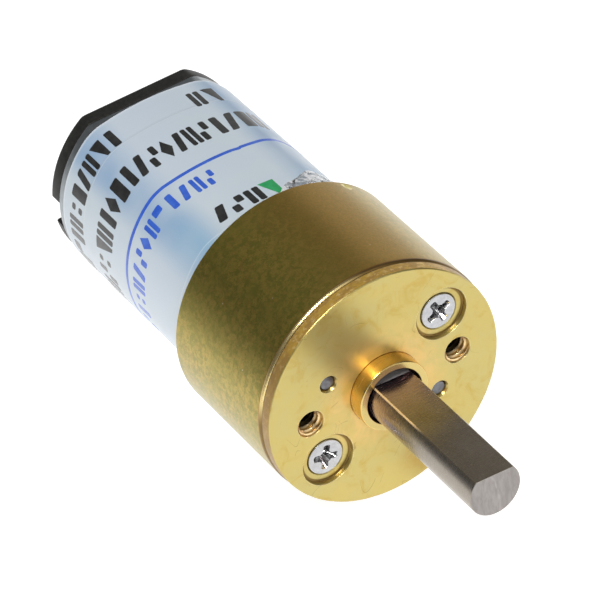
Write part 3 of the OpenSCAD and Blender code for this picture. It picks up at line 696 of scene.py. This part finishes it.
# ---------------------------------------------------------------- gearbox tube
def build_tube():
    prof = rounded([
        (X_BOX, R_TUBE, 0.03), (X_BOX, R_BOX, 0.06), (-0.75, R_BOX - 0.0, 0.20), (-0.75, R_TUBE, 0.03)], 6)
    # finer steps along the outside near the staking dimples
    outer = [p for p in prof]
    pts = []
    for i, p in enumerate(outer):
        q = outer[(i + 1) % len(outer)]
        pts.append(p)
        if abs(p[1] - R_BOX) < 1e-6 and abs(q[1] - R_BOX) < 1e-6 and abs(p[0] - q[0]) > 1:
            for k in range(1, 15):
                pts.append((p[0] + 0.06 * k, R_BOX))
            for k in range(1, 12):
                x0 = p[0] + 0.84
                pts.append((x0 + (q[0] - x0) * k / 12, R_BOX))
    angles = []
    a = 0.0
    while a < 360 - 1e-9:
        angles.append(a)
        near = min(abs((a - c + 180) % 360 - 180) for c in (54, 234))
        a += 0.375 if near < 5 else 1.125
    verts, faces = [], []
    n = len(angles)
    for x, r in pts:
        for a in angles:
            rr, xx = r, x
            if r > R_TUBE + 0.2:
                for c in (54, 234):
                    d = math.hypot(x + 8.88, rad((a - c + 180) % 360 - 180) * R_BOX)
                    if d < 0.30:
                        rr -= 0.085 * (1 - (d / 0.30) ** 2) ** 1.1
            if x > -1.0 and r > R_TUBE + 0.1:
                # the front lip is slightly burred
                v = noise.noise(Vector((math.cos(rad(a)) * 14, math.sin(rad(a)) * 14, x * 3)))
                w = noise.noise(Vector((math.cos(rad(a)) * 3, math.sin(rad(a)) * 3, 9)))
                rr -= max(0.0, 0.012 * v + 0.010 * w)
            verts.append((xx, *polar(rr, a)))
    m = len(pts)
    for i in range(m):
        for k in range(n):
            j, l = (i + 1) % m, (k + 1) % n
            faces.append([i * n + k, i * n + l, j * n + l, j * n + k])
    ob = mesh_object("gearbox_tube", verts, faces)
    return dress(ob, M["tube"], "casing", ["gear_housing"], 40, flats=())


# ---------------------------------------------------------------- face plate
def thread_cutter(cy, cz, seg=72, rows=14):
    """A hole cutter with the helix of an M1.6 thread and a small countersink at its mouth."""
    minor, major, pitch = 0.615, 0.79, 0.35
    x0, x1 = -1.5, 0.25
    n = int((x1 - x0) / pitch * rows)
    rings = []
    for i in range(n + 1):
        x = x0 + (x1 - x0) * i / n
        ring = []
        for k in range(seg):
            s = (x / pitch - k / seg) % 1.0
            t = max(0.0, min(1.0, (1 - abs(2 * s - 1)) * 1.35 - 0.12))
            r = minor + (major - minor) * t
            r = max(r, 0.70 + (x + 0.10) * 1.0) if x > -0.10 else r
            r = min(r, 0.86)
            a = 2 * math.pi * k / seg
            ring.append((x, cy + r * math.cos(a), cz + r * math.sin(a)))
        rings.append(ring)
    v, f = loft(rings)
    return mesh_object("cutter", v, f)


def build_plate():
    prof = rounded([
        (-1.15, 1.855, 0.03), (-1.15, 6.38, 0.05), (-0.75, 6.38, 0), (-0.75, 6.94, 0.04), (0, 6.94, 0.085), (0, 2.10, 0.012),
        (-0.06, 2.10, 0), (-0.06, 1.855, 0)], 5)
    v, f = lathe(prof, seg=288)
    out = []
    for x, y, z in v:
        r = math.hypot(y, z)
        if r > 6.8 and -0.2 < x < -0.004:
            # the edge is dinged and worn, not even
            q = noise.noise(Vector((y * 1.6, z * 1.6, 2))) + 0.7 * noise.noise(Vector((y * 4.7, z * 4.7, 4)))
            k = 1 - max(0.0, q) * 0.0030
            y, z = y * k, z * k
        out.append((x, y, z))
    ob = mesh_object("face_plate", out, f)
    cutters = []
    for r, a, _ in SCREWS:
        cy, cz = polar(r, a)
        bore = rounded([
            (-2, 0, 0), (-2, 0.64, 0), (-0.77, 0.64, 0.05), (-0.30, 1.105, 0.035), (-0.27, 1.20, 0.04), (-0.27, 1.50, 0.10), (-0.03, 1.52, 0.02),
            (0.02, 1.57, 0), (0.6, 1.57, 0), (0.6, 0, 0)], 6)
        cutters.append(mesh_object("cutter", *lathe(bore, cy, cz, 128)))
    for r, a in PINS:
        cy, cz = polar(r, a)
        hole = rounded([(-2, 0, 0), (-2, 0.402, 0), (-0.19, 0.402, 0.05), (-0.02, 0.52, 0.03), (0.4, 0.535, 0), (0.4, 0, 0)], 4)
        cutters.append(mesh_object("cutter", *lathe(hole, cy, cz, 72)))
    for y in (-4.5, 4.5):
        cutters.append(thread_cutter(y, 0.0))
    cut(ob, *cutters)
    return dress(ob, M["plate"], "casing", ["front_plate"], 32)


def build_bush():
    prof = rounded([
        (-1.15, 1.52, 0.03), (-1.15, 1.855, 0.03), (-0.06, 1.855, 0), (-0.06, 2.075, 0.01), (0.98, 2.065, 0.085),
        (0.98, 1.66, 0.035), (0.68, 1.65, 0.05), (0.56, 1.52, 0.05)], 6)
    ob = mesh_object("shaft_bush", *lathe(prof, seg=192))
    return dress(ob, M["bush"], "casing", ["output_bush"], 35)


# ---------------------------------------------------------------- output shaft
def build_shaft():
    k = frame["record"]
    lo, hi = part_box("output_shaft")
    x0 = lo.x / MM
    g0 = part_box("output_gear")[0].x / MM
    g1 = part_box("output_gear")[1].x / MM
    prof = rounded([
        (x0, 0, 0), (x0, 0.6, 0.05), (g0, 0.6, 0), (g0, 1.2, 0), (g1, 1.2, 0), (g1 + 0.02, SHAFT_R, 0.03),
        (10.25, SHAFT_R, 0.07), (10.25, 0, 0)], 5)
    v, f = lathe(prof, seg=224)
    ob = mesh_object("output_d_shaft", v, f)
    # the milled flat lifts out of the round in an arc
    r = 1.2
    side = []
    c = (FLAT_X, FLAT_H + r)
    for i in range(0, 19):
        t = -90 - i * 4.0
        side.append((c[0] + r * math.cos(rad(t)), c[1] + r * math.sin(rad(t))))
    side.append((side[-1][0] - 0.1, 3.0))
    side += [(12, 3.0), (12, FLAT_H)]
    cs, sn = math.cos(rad(FLAT_TURN)), math.sin(rad(FLAT_TURN))
    rings = [[(x, y * cs - z * sn, y * sn + z * cs) for x, z in side] for y in (-2.2, 2.2)]
    cutter = mesh_object("cutter", *loft(rings))
    cut(ob, cutter)
    bevel(ob, 0.040, 28, 3)
    return dress(ob, M["shaft"], "output", ["output_shaft"], 24, ((1, 0, 0), (-1, 0, 0), (0, -sn, cs)))


# ---------------------------------------------------------------- screws and pins
def build_screw(i, r, a, turn):
    cy, cz = polar(r, a)
    prof = rounded([
        (-3.40, 0, 0), (-3.40, 0.52, 0), (-3.30, 0.585, 0), (-0.76, 0.585, 0.03), (-0.34, 1.03, 0.03), (-0.255, 1.03, 0.045),
        (-0.25, 0, 0)], 5)
    ob = mesh_object(f"cross_screw_{i + 1}", *lathe(prof, cy, cz, 128))
    top, low = -0.25, -0.95

    def arm(t):
        d = Vector((0, *polar(1, t)))
        e = Vector((0, *polar(1, t + 90)))
        p = Vector((0, cy, cz))
        rings = []
        for x, L, w in ((top + 0.12, 0.77, 0.220), (top, 0.74, 0.200), (top - 0.10, 0.685, 0.170), (top - 0.40, 0.51, 0.130), (low + 0.06, 0.22, 0.08)):
            ring = []
            for s, q in ((-1, -0.55), (-0.9, -1), (0.9, -1), (1, -0.55), (1, 0.55), (0.9, 1), (-0.9, 1), (-1, 0.55)):
                l = s * L if abs(s) == 1 else math.copysign(L - 0.07, s)
                v = p + d * l + e * (q * w)
                ring.append((x, v.y, v.z))
            rings.append(ring)
        return mesh_object("cutter", *loft(rings))

    bowl = rounded([(top + 0.1, 0, 0), (top + 0.1, 0.41, 0), (top - 0.02, 0.385, 0), (top - 0.40, 0.26, 0.05), (low - 0.02, 0, 0)], 4)
    cut(ob, arm(turn), arm(turn + 90.3), mesh_object("cutter", *lathe(bowl, cy, cz, 40)))
    bevel(ob, 0.016, 30, 2)
    return dress(ob, M["screw"], "casing", ["cover_screws"], 28)


def build_pin(i, r, a):
    cy, cz = polar(r, a)
    lo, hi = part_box("axle_pin_a" if i == 0 else "axle_pin_b")
    prof = rounded([(lo.x / MM, 0, 0), (lo.x / MM, 0.4, 0.05), (-0.13, 0.4, 0.06), (-0.10, 0.16, 0.12), (-0.115, 0, 0)], 6)
    ob = mesh_object("axle_pin_" + ("lower" if i == 0 else "upper"), *lathe(prof, cy, cz, 64))
    return dress(ob, M["pin"], "casing", ["axle_pin_a" if i == 0 else "axle_pin_b"], 35)


# ---------------------------------------------------------------- motor
def flat_outline(r, f, n=288, corner=0.35):
    """Points round a circle with two flats, its corners softened, as (y, z)."""
    rho = []
    for k in range(n):
        a = 2 * math.pi * k / n
        s = abs(math.sin(a))
        rho.append(min(r, f / s if s > 1e-9 else 1e9))
    w = max(1, int(n * corner / (2 * math.pi * r)))
    out = []
    for k in range(n):
        m = sum(rho[(k + j) % n] for j in range(-w, w + 1)) / (2 * w + 1)
        m = min(m, rho[k])
        a = 2 * math.pi * k / n
        out.append((m * math.cos(a), m * math.sin(a)))
    return out


def inset(outline, d):
    n = len(outline)
    out = []
    for k in range(n):
        a, b, c = outline[k - 1], outline[k], outline[(k + 1) % n]
        t = Vector((c[0] - a[0], c[1] - a[1])).normalized()
        out.append((b[0] - t.y * d, b[1] + t.x * d))
    return out


def shell_ring(x, outline):
    return [(x, y, z) for y, z in outline]


def build_can():
    outer = flat_outline(6.0, 5.0)
    x0, x1 = X_CAN, X_BOX
    rings = []
    e = 0.10
    for k in range(5):
        t = rad(90 * k / 4)
        rings.append(shell_ring(x0 + e * (1 - math.sin(t)), inset(outer, e * (1 - math.cos(t)))))
    rings.reverse()
    rings = [shell_ring(x0 + e * (1 - math.cos(rad(22.5 * k))), inset(outer, e * (1 - math.sin(rad(22.5 * k))))) for k in range(5)]
    rings += [shell_ring(x0 + 0.72, outer), shell_ring(x1, outer)]
    ob = mesh_object("motor_can_shell", *loft(rings))
    inner = inset(outer, 0.45)
    hollow = mesh_object("cutter", *loft([shell_ring(x0 - 1, inner), shell_ring(x1 - 0.5, inner)]))
    boss = rounded([(-9.6, 0, 0), (-9.6, 0.9, 0), (-8, 0.9, 0), (-8, 0, 0)])
    cut(ob, hollow, mesh_object("cutter", *lathe([(-10.5, 0), (-10.5, 1.6), (-9.0, 1.6), (-9.0, 0)], seg=64)),
        mesh_object("cutter", *lathe([(-12, 0), (-12, 0.59), (-9.0, 0.59), (-9.0, 0)], 0, 4.0, 48)),
        mesh_object("cutter", *lathe([(-12, 0), (-12, 0.59), (-9.0, 0.59), (-9.0, 0)], 0, -4.0, 48)))
    dress(ob, M["can"], "casing", ["motor_can"], 30)
    nose = mesh_object("motor_can_nose", *lathe(rounded([
        (-9.36, 1.6, 0), (-9.36, 2.0, 0.0), (-8.52, 2.0, 0.10), (-8.52, 0.9, 0.02), (-8.80, 0.9, 0), (-8.80, 1.6, 0)], 4), seg=96))
    dress(nose, M["can"], "casing")
    return ob


LABEL_N = 720


def label_radius():
    """Radius of the film round the motor at each angle: round sides, arched over the flats."""
    r, f, crown, h = 6.085, 5.0, 0.38, 3.35
    rb = (h * h + crown * crown) / (2 * crown)
    c0 = f + crown - rb
    rho = []
    for k in range(LABEL_N):
        a = 2 * math.pi * k / LABEL_N
        s = abs(math.sin(a))
        q = c0 * s + math.sqrt((c0 * s) ** 2 - c0 * c0 + rb * rb)
        rho.append(min(r, q))
    w = 14
    return [min(rho[k], sum(rho[(k + j) % LABEL_N] for j in range(-w, w + 1)) / (2 * w + 1)) for k in range(LABEL_N)]


RHO = label_radius()


def label_at(angle, x, lift=0.0):
    """A point on the film, lift mm above it."""
    k = angle / 360 * LABEL_N
    i = int(math.floor(k))
    t = k - i
    r = RHO[i % LABEL_N] * (1 - t) + RHO[(i + 1) % LABEL_N] * t
    y, z = polar(1, angle)
    r += 0.007 * (noise.noise(Vector((x * 0.35, y * 3.0, z * 3.0))) - 0.6)
    if x < -20.70:
        r -= 0.010
    if x > -10.60:
        r -= 0.008
    return (x, *polar(r + lift, angle))


def build_label():
    xs = [-23.02, -23.005, -22.97]
    x = -22.7
    while x < -20.8:
        xs.append(x)
        x += 0.35
    xs += [-20.73, -20.70, -20.69, -20.66]
    x = -20.3
    while x < -10.8:
        xs.append(x)
        x += 0.35
    xs += [-10.63, -10.60, -10.59, -10.55, -10.2, -9.8, -9.5, -9.36, -9.32]
    n = 360
    verts, faces = [], []
    cols = []
    for x in xs:
        edge = 0.02 if x in (xs[0], xs[-1]) else 0.0
        cols.append((x, -edge))
    for x, e in cols:
        for k in range(n):
            verts.append(label_at(360 * k / n, x, e))
    m = len(cols)
    for x, e in reversed(cols):
        for k in range(n):
            a = 360 * k / n
            px, py, pz = label_at(a, x, -0.075)
            r = max(math.hypot(py, pz), 0)
            verts.append((px, py, pz))
    for i in range(2 * m):
        for k in range(n):
            j, l = (i + 1) % (2 * m), (k + 1) % n
            faces.append([i * n + k, i * n + l, j * n + l, j * n + k])
    ob = mesh_object("label_film_sleeve", verts, faces)
    return dress(ob, M["label"], "casing", ["label_sleeve"], 40, flats=())


def print_marks(name, shapes, mat, lift=0.006):
    """Thin closed patches of ink on the film. A shape is a list of (angle in degrees, x) corners."""
    bm = bmesh.new()
    for shape in shapes:
        part = bmesh.new()
        vs = [part.verts.new((a, x, 0)) for a, x in shape]
        part.faces.new(vs)
        lo = min(a for a, _ in shape)
        hi = max(a for a, _ in shape)
        a = math.floor(lo) + 1.0
        while a < hi:
            geom = part.verts[:] + part.edges[:] + part.faces[:]
            bmesh.ops.bisect_plane(part, geom=geom, plane_co=(a, 0, 0), plane_no=(1, 0, 0), dist=1e-5)
            a += 1.0
        got = bmesh.ops.extrude_face_region(part, geom=part.faces[:])
        for v in got["geom"]:
            if isinstance(v, bmesh.types.BMVert):
                v.co.z = 1.0
        # the region's own faces stay as the underside
        for v in part.verts:
            v.co = Vector(label_at(v.co.x, v.co.y, lift if v.co.z > 0.5 else -0.01)) * MM
        bmesh.ops.recalc_face_normals(part, faces=part.faces)
        tmp = bpy.data.meshes.new("tmp")
        part.to_mesh(tmp)
        part.free()
        bm.from_mesh(tmp)
        bpy.data.meshes.remove(tmp)
    me = bpy.data.meshes.new(name)
    bm.to_mesh(me)
    bm.free()
    ob = bpy.data.objects.new(name, me)
    bpy.context.scene.collection.objects.link(ob)
    return dress(ob, mat, "casing", (), 40, flats=())


DEG = 180 / (math.pi * 6.07)


def rect(a, x, w, h, slant=0.0):
    """A bar w mm round the film and h mm along it, its corner at angle a and rear edge x, its corners softened."""
    c = min(0.07, w * 0.25, h * 0.25)
    d, s = DEG, slant * DEG
    f, k = c / h * s, c * DEG
    w = w * d
    return [(a + k, x), (a + w - k, x), (a + w + f, x + c), (a + w + s - f, x + h - c), (a + w + s - k, x + h),
            (a + s + k, x + h), (a + s - f, x + h - c), (a + f, x + c)]


def mark(kind, a, x, w, h):
    """One plain mark, none of them a letter or a number: bars, dashes, dots, blocks, wedges and diamonds."""
    d = w * DEG
    if kind == "bar":
        return [rect(a + d * 0.12, x, w * 0.60, h)]
    if kind == "bars":
        return [rect(a, x, w * 0.42, h), rect(a + d * 0.58, x, w * 0.42, h)]
    if kind == "lean":
        return [rect(a, x, w * 0.56, h, w * 0.42)]
    if kind == "block":
        return [rect(a, x, w * 0.92, h)]
    if kind == "half":
        return [rect(a, x, w, h * 0.42)]
    if kind == "cap":
        return [rect(a, x + h * 0.58, w, h * 0.42)]
    if kind == "dots":
        q = min(w, h) * 0.48
        return [rect(a + d * 0.2, x + h * 0.14, q, q), rect(a + d * 0.2, x + h * 0.62, q, q)]
    if kind == "diamond":
        return [[(a + d / 2, x), (a + d, x + h / 2), (a + d / 2, x + h), (a, x + h / 2)]]
    if kind == "wedge":
        return [[(a, x), (a + d, x), (a + d * 0.3, x + h), (a, x + h)]]
    if kind == "check":
        return [rect(a, x, w * 0.50, h * 0.46), rect(a + d * 0.50, x + h * 0.52, w * 0.50, h * 0.48)]
    return []


def row(kinds, a0, pitch, x, w, h):
    out = []
    for i, kind in enumerate(kinds):
        out += mark(kind, a0 + i * pitch, x, w, h)
    return out


def build_print():
    black = row(["bar", "wedge", "bars", "lean", "block", "dots", "bars", "bar", "half", "block", "lean", "diamond"],
                117.5, 8.6, -22.25, 0.76, 1.45)
    black += row(["wedge", "bars"], 54.0, 9.0, -22.05, 0.74, 1.45)
    black += row(["bars", "block", "lean", "bar", "check", "bars", "lean", "diamond", "check", "lean", "bar", "block", "diamond", "bar",
                  "bars", "wedge", "dots", "check", "bars", "lean", "bar"],
                 42.0, 8.35, -19.3, 0.76, 1.70)
    green = mark("wedge", 72.8, -12.50, 1.00, 1.45)
    black += mark("bars", 83.2, -12.45, 1.00, 1.25)
    black += mark("check", 94.2, -12.45, 1.00, 1.25)
    black += mark("lean", 105.4, -12.45, 1.00, 1.25)
    blue = row(["check", "bars", "lean", "bar", "half", "bars", "diamond", "check", "lean", "bars", "dots", "bar", "check"],
               95.5, 8.35, -15.35, 0.66, 1.25)
    print_marks("label_print_black", black, M["black_ink"])
    print_marks("label_print_green", green, M["green_ink"])
    print_marks("label_print_blue", blue, M["blue_ink"])
    # the blue ring, with the small step where the film's ends meet
    ring = []
    n = 360
    for x, lift in ((-16.13, -0.01), (-16.13, 0.006), (-15.90, 0.006), (-15.90, -0.01)):
        ring.append([label_at(72 + 360 * k / n, x + 0.06 * max(0.0, 1 - k / 5), lift) for k in range(n)])
    verts = [p for r in ring for p in r]
    faces = []
    for i in range(4):
        for k in range(n):
            j, l = (i + 1) % 4, (k + 1) % n
            faces.append([i * n + k, i * n + l, j * n + l, j * n + k])
    ob = mesh_object("label_print_ring", verts, faces)
    dress(ob, M["blue_ink"], "casing", (), 40, flats=())


def build_film_edge():
    """Clear film that crumples and stands off the motor where it is pushed against the gearbox."""
    a0, a1, x0, x1 = 8.0, 76.0, -12.45, -9.38
    na, nx = 220, 64
    top, low = [], []
    for i in range(nx + 1):
        for k in range(na + 1):
            u, v = k / na, i / nx
            a = a0 + (a1 - a0) * u
            start = x0 + 1.3 * abs(2 * u - 1) ** 2.0 + 0.30 * noise.noise(Vector((u * 7, 3, 1)))
            x = start + (x1 - start) * v
            edge = min(1.0, 5 * u, 5 * (1 - u))
            q = Vector((x * 0.9, a * 0.11, 0))
            fold = abs(noise.noise(q)) + 0.55 * abs(noise.noise(q * 2.1 + Vector((3, 1, 4)))) + 0.25 * abs(noise.noise(q * 4.3))
            fold = max(0.0, 0.62 - fold)
            rise = (v ** 1.7) * (0.62 * math.sin(math.pi * min(1, u * 1.25)) ** 1.2 if u < 0.8 else 0.0)
            rise = rise if u < 0.8 else 0.0
            lift = 0.014 + edge * (rise * 0.9 + 0.16 * fold * min(1, 4 * v) * (1 - 0.5 * v))
            top.append(label_at(a, x, min(lift, 0.80)))
            low.append(label_at(a, x, min(lift, 0.80) - 0.012))
    verts = top + low
    faces = []
    w = na + 1
    m = len(top)
    for i in range(nx):
        for k in range(na):
            q = [i * w + k, i * w + k + 1, (i + 1) * w + k + 1, (i + 1) * w + k]
            faces.append(q)
            faces.append([m + j for j in reversed(q)])
    for i in range(nx):
        for k in (0, na):
            q = [i * w + k, (i + 1) * w + k, m + (i + 1) * w + k, m + i * w + k]
            faces.append(q)
    for k in range(na):
        for i in (0, nx):
            q = [i * w + k, i * w + k + 1, m + i * w + k + 1, m + i * w + k]
            faces.append(q)
    ob = mesh_object("label_clear_edge", verts, faces)
    return dress(ob, M["film"], "casing", (), 60, flats=())


def build_end_bell():
    outer = flat_outline(5.95, 5.0, corner=0.25)
    e = 0.16
    rings = [shell_ring(X_END + e * (1 - math.cos(rad(18 * k))), inset(outer, e * (1 - math.sin(rad(18 * k))))) for k in range(6)]
    f = 0.05
    rings += [shell_ring(X_CAN - 0.0 - f * (1 - math.sin(rad(30 * k))) , inset(outer, f * (1 - math.cos(rad(30 * k))))) for k in range(4)]
    ob = mesh_object("end_bell_cap", *loft(rings))
    cutters = []
    for s in (-1, 1):
        box = [[(x, s * y, z) for y, z in ((5.50, -0.85), (6.6, -0.85), (6.6, 0.85), (5.50, 0.85))] for x in (-25.2, -23.2)]
        cutters.append(mesh_object("cutter", *loft(box)))
        slot = [[(x, s * y, z) for y, z in ((3.54, -0.76), (3.86, -0.76), (3.86, 0.76), (3.54, 0.76))] for x in (-25.4, -23.2)]
        cutters.append(mesh_object("cutter", *loft(slot)))
    cutters.append(mesh_object("cutter", *lathe([(-24.56, 0), (-24.56, 1.3), (-23.2, 1.3), (-23.2, 0)], seg=64)))
    cut(ob, *cutters)
    bevel(ob, 0.05, 50, 2)
    dress(ob, M["black"], "casing", ["end_bell"], 32)
    # the plug inside the can, the bearing boss and the terminal pads
    inner = inset(flat_outline(6.0, 5.0), 0.47)
    plug = mesh_object("end_bell_plug", *loft([shell_ring(X_CAN + 0.001, inner), shell_ring(X_CAN + 1.44, inner), shell_ring(X_CAN + 1.5, inset(inner, 0.06))]))
    c = [mesh_object("cutter", *lathe([(-26, 0), (-26, 2.6), (-20, 2.6), (-20, 0)], seg=64))]
    for s in (-1, 1):
        slot = [[(x, s * y, z) for y, z in ((3.54, -0.76), (3.86, -0.76), (3.86, 0.76), (3.54, 0.76))] for x in (-25.4, -21.2)]
        c.append(mesh_object("cutter", *loft(slot)))
    cut(plug, *c)
    dress(plug, M["black"], "casing")
    boss = mesh_object("end_bell_boss", *lathe(rounded([
        (-25.37, 0, 0), (-25.37, 2.0, 0.22), (-24.575, 2.0, 0.0), (-24.575, 1.3, 0), (-25.07, 1.3, 0.05), (-25.07, 0, 0)], 6), seg=96))
    dress(boss, M["black"], "casing")
    for s in (-1, 1):
        pad = [[(x, s * y, z) for y, z in ((3.05 + i, -1.4 + i), (4.35 - i, -1.4 + i), (4.35 - i, 1.4 - i), (3.05 + i, 1.4 - i))]
               for x, i in ((-24.82, 0.06), (-24.80, 0.02), (-24.77, 0.0), (-24.575, 0.0))]
        ob2 = mesh_object("terminal_pad_" + ("right" if s > 0 else "left"), *loft(pad))
        slot = [[(x, s * y, z) for y, z in ((3.54, -0.76), (3.86, -0.76), (3.86, 0.76), (3.54, 0.76))] for x in (-25.4, -23.2)]
        cut(ob2, mesh_object("cutter", *loft(slot)))
        dress(ob2, M["black"], "casing")


def build_terminals():
    made = []
    for s in (-1, 1):
        lo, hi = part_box("terminals")
        x0, x1 = lo.x / MM, hi.x / MM
        side = rounded([(x0, -0.75, 0.35), (x1, -0.75, 0), (x1, 0.75, 0), (x0, 0.75, 0.35)], 6)
        rings = [[(x, s * y, z) for x, z in side] for y in (3.55, 3.85)]
        ob = mesh_object("terminal_tab_" + ("right" if s > 0 else "left"), *loft(rings))
        hole = []
        for y in (3.3, 4.1):
            hole.append([(x0 + 0.9 + 0.4 * math.cos(2 * math.pi * k / 48), s * y, 0.4 * math.sin(2 * math.pi * k / 48)) for k in range(48)])
        cut(ob, mesh_object("cutter", *loft(hole)))
        bevel(ob, 0.03, 40, 2)
        dress(ob, M["tin"], "casing", ["terminals"])
        made.append(ob)


build_tube()
build_plate()
build_bush()
build_shaft()
for i, (r, a, t) in enumerate(SCREWS):
    build_screw(i, r, a, t)
for i, (r, a) in enumerate(PINS):
    build_pin(i, r, a)
build_can()
build_label()
build_print()
build_film_edge()
build_end_bell()
build_terminals()


# ---------------------------------------------------------------- floor, light, camera
FLOOR_GLOW = 0.92
FLOOR_FAR = 0.35


def build_stage():
    s = 0.6
    me = bpy.data.meshes.new("floor")
    n = 12
    verts = [((i / n - 0.5) * 2 * s, (j / n - 0.5) * 2 * s, -0.00702) for i in range(n + 1) for j in range(n + 1)]
    faces = [[i * (n + 1) + j, (i + 1) * (n + 1) + j, (i + 1) * (n + 1) + j + 1, i * (n + 1) + j + 1] for i in range(n) for j in range(n)]
    me.from_pydata(verts, [], faces)
    ob = bpy.data.objects.new("floor", me)
    bpy.context.scene.collection.objects.link(ob)
    p = Paint("pale_floor")
    x, y, z = p.xyz()
    # the paper is lit from the right, and falls off gently behind the motor's left side
    away = p.math("ADD", p.math("MULTIPLY", x, -0.526), p.math("MULTIPLY", y, -0.85))
    glow = p.span(away, 24, 80, 1.0, FLOOR_FAR)
    c = p.mix(p.noise(0.02, 2), (0.36, 0.36, 0.36), (0.40, 0.40, 0.395))
    p.set(color=p.mix(glow, (0, 0, 0), c), rough=0.8, spec=0.0)
    p.bsdf.inputs["Emission Color"].default_value = (1, 1, 1, 1)
    p.put(p.bsdf.inputs["Emission Strength"], p.math("MULTIPLY", glow, FLOOR_GLOW))
    me.materials.append(p.mat)


def area(name, direction, distance, size, power, color=(1, 1, 1), size_y=None):
    data = bpy.data.lights.new(name, "AREA")
    data.shape = "RECTANGLE"
    data.size = size
    data.size_y = size_y or size
    data.energy = power
    data.color = color
    ob = bpy.data.objects.new(name, data)
    bpy.context.scene.collection.objects.link(ob)
    d = Vector(direction).normalized()
    ob.location = Vector((-0.007, 0, 0)) + d * distance
    ob.rotation_mode = "QUATERNION"
    ob.rotation_quaternion = d.to_track_quat("Z", "Y")
    return ob


def build_light():
    w = bpy.data.worlds.new("studio")
    bpy.context.scene.world = w
    w.use_nodes = True
    t = w.node_tree
    t.nodes.clear()
    out = t.nodes.new("ShaderNodeOutputWorld")
    bg = t.nodes.new("ShaderNodeBackground")
    co = t.nodes.new("ShaderNodeTexCoord")
    sep = t.nodes.new("ShaderNodeSeparateXYZ")
    ramp = t.nodes.new("ShaderNodeValToRGB")
    t.links.new(co.outputs["Generated"], sep.inputs[0])
    t.links.new(sep.outputs["Z"], ramp.inputs[0])
    t.links.new(ramp.outputs[0], bg.inputs[0])
    t.links.new(bg.outputs[0], out.inputs[0])
    e = ramp.color_ramp.elements
    e[0].position, e[0].color = 0.0, (0.75, 0.75, 0.75, 1)
    e[1].position, e[1].color = 1.0, (0.16, 0.16, 0.165, 1)
    for pos, v in ((0.02, 0.42), (0.09, 0.17), (0.22, 0.115), (0.45, 0.130), (0.62, 0.182), (0.80, 0.265)):
        k = e.new(pos)
        k.color = (v, v, v * 1.02, 1)
    bg.inputs[1].default_value = 1.0
    area("key", (0.35, -0.34, 0.84), 0.42, 0.12, 1.15)
    area("fill", (0.80, 0.30, 0.70), 0.45, 0.34, 0.24)
    area("flash", (0.698, -0.27, 0.665), 0.45, 0.055, 0.17)
    area("side", (-0.68, 0.66, 0.32), 0.40, 0.18, 0.045)


def build_camera():
    data = bpy.data.cameras.new("camera")
    data.sensor_width = 36
    data.lens = 4431.65 * 36 / 600
    data.clip_start, data.clip_end = 0.01, 10
    cam = bpy.data.objects.new("camera", data)
    bpy.context.scene.collection.objects.link(cam)
    x = Vector((0.52413, 0.84229, -0.12588))
    y = Vector((-0.48828, 0.41830, 0.76590))
    z = Vector((0.69776, -0.33997, 0.63052))
    m = Matrix((x, y, z)).transposed()
    cam.rotation_mode = "QUATERNION"
    cam.rotation_quaternion = m.to_quaternion()
    cam.location = (0.154302, -0.079154, 0.147424)
    bpy.context.scene.camera = cam


build_stage()
build_light()
build_camera()
bpy.context.scene.view_settings.view_transform = "Standard"
bpy.context.scene.view_settings.look = "None"
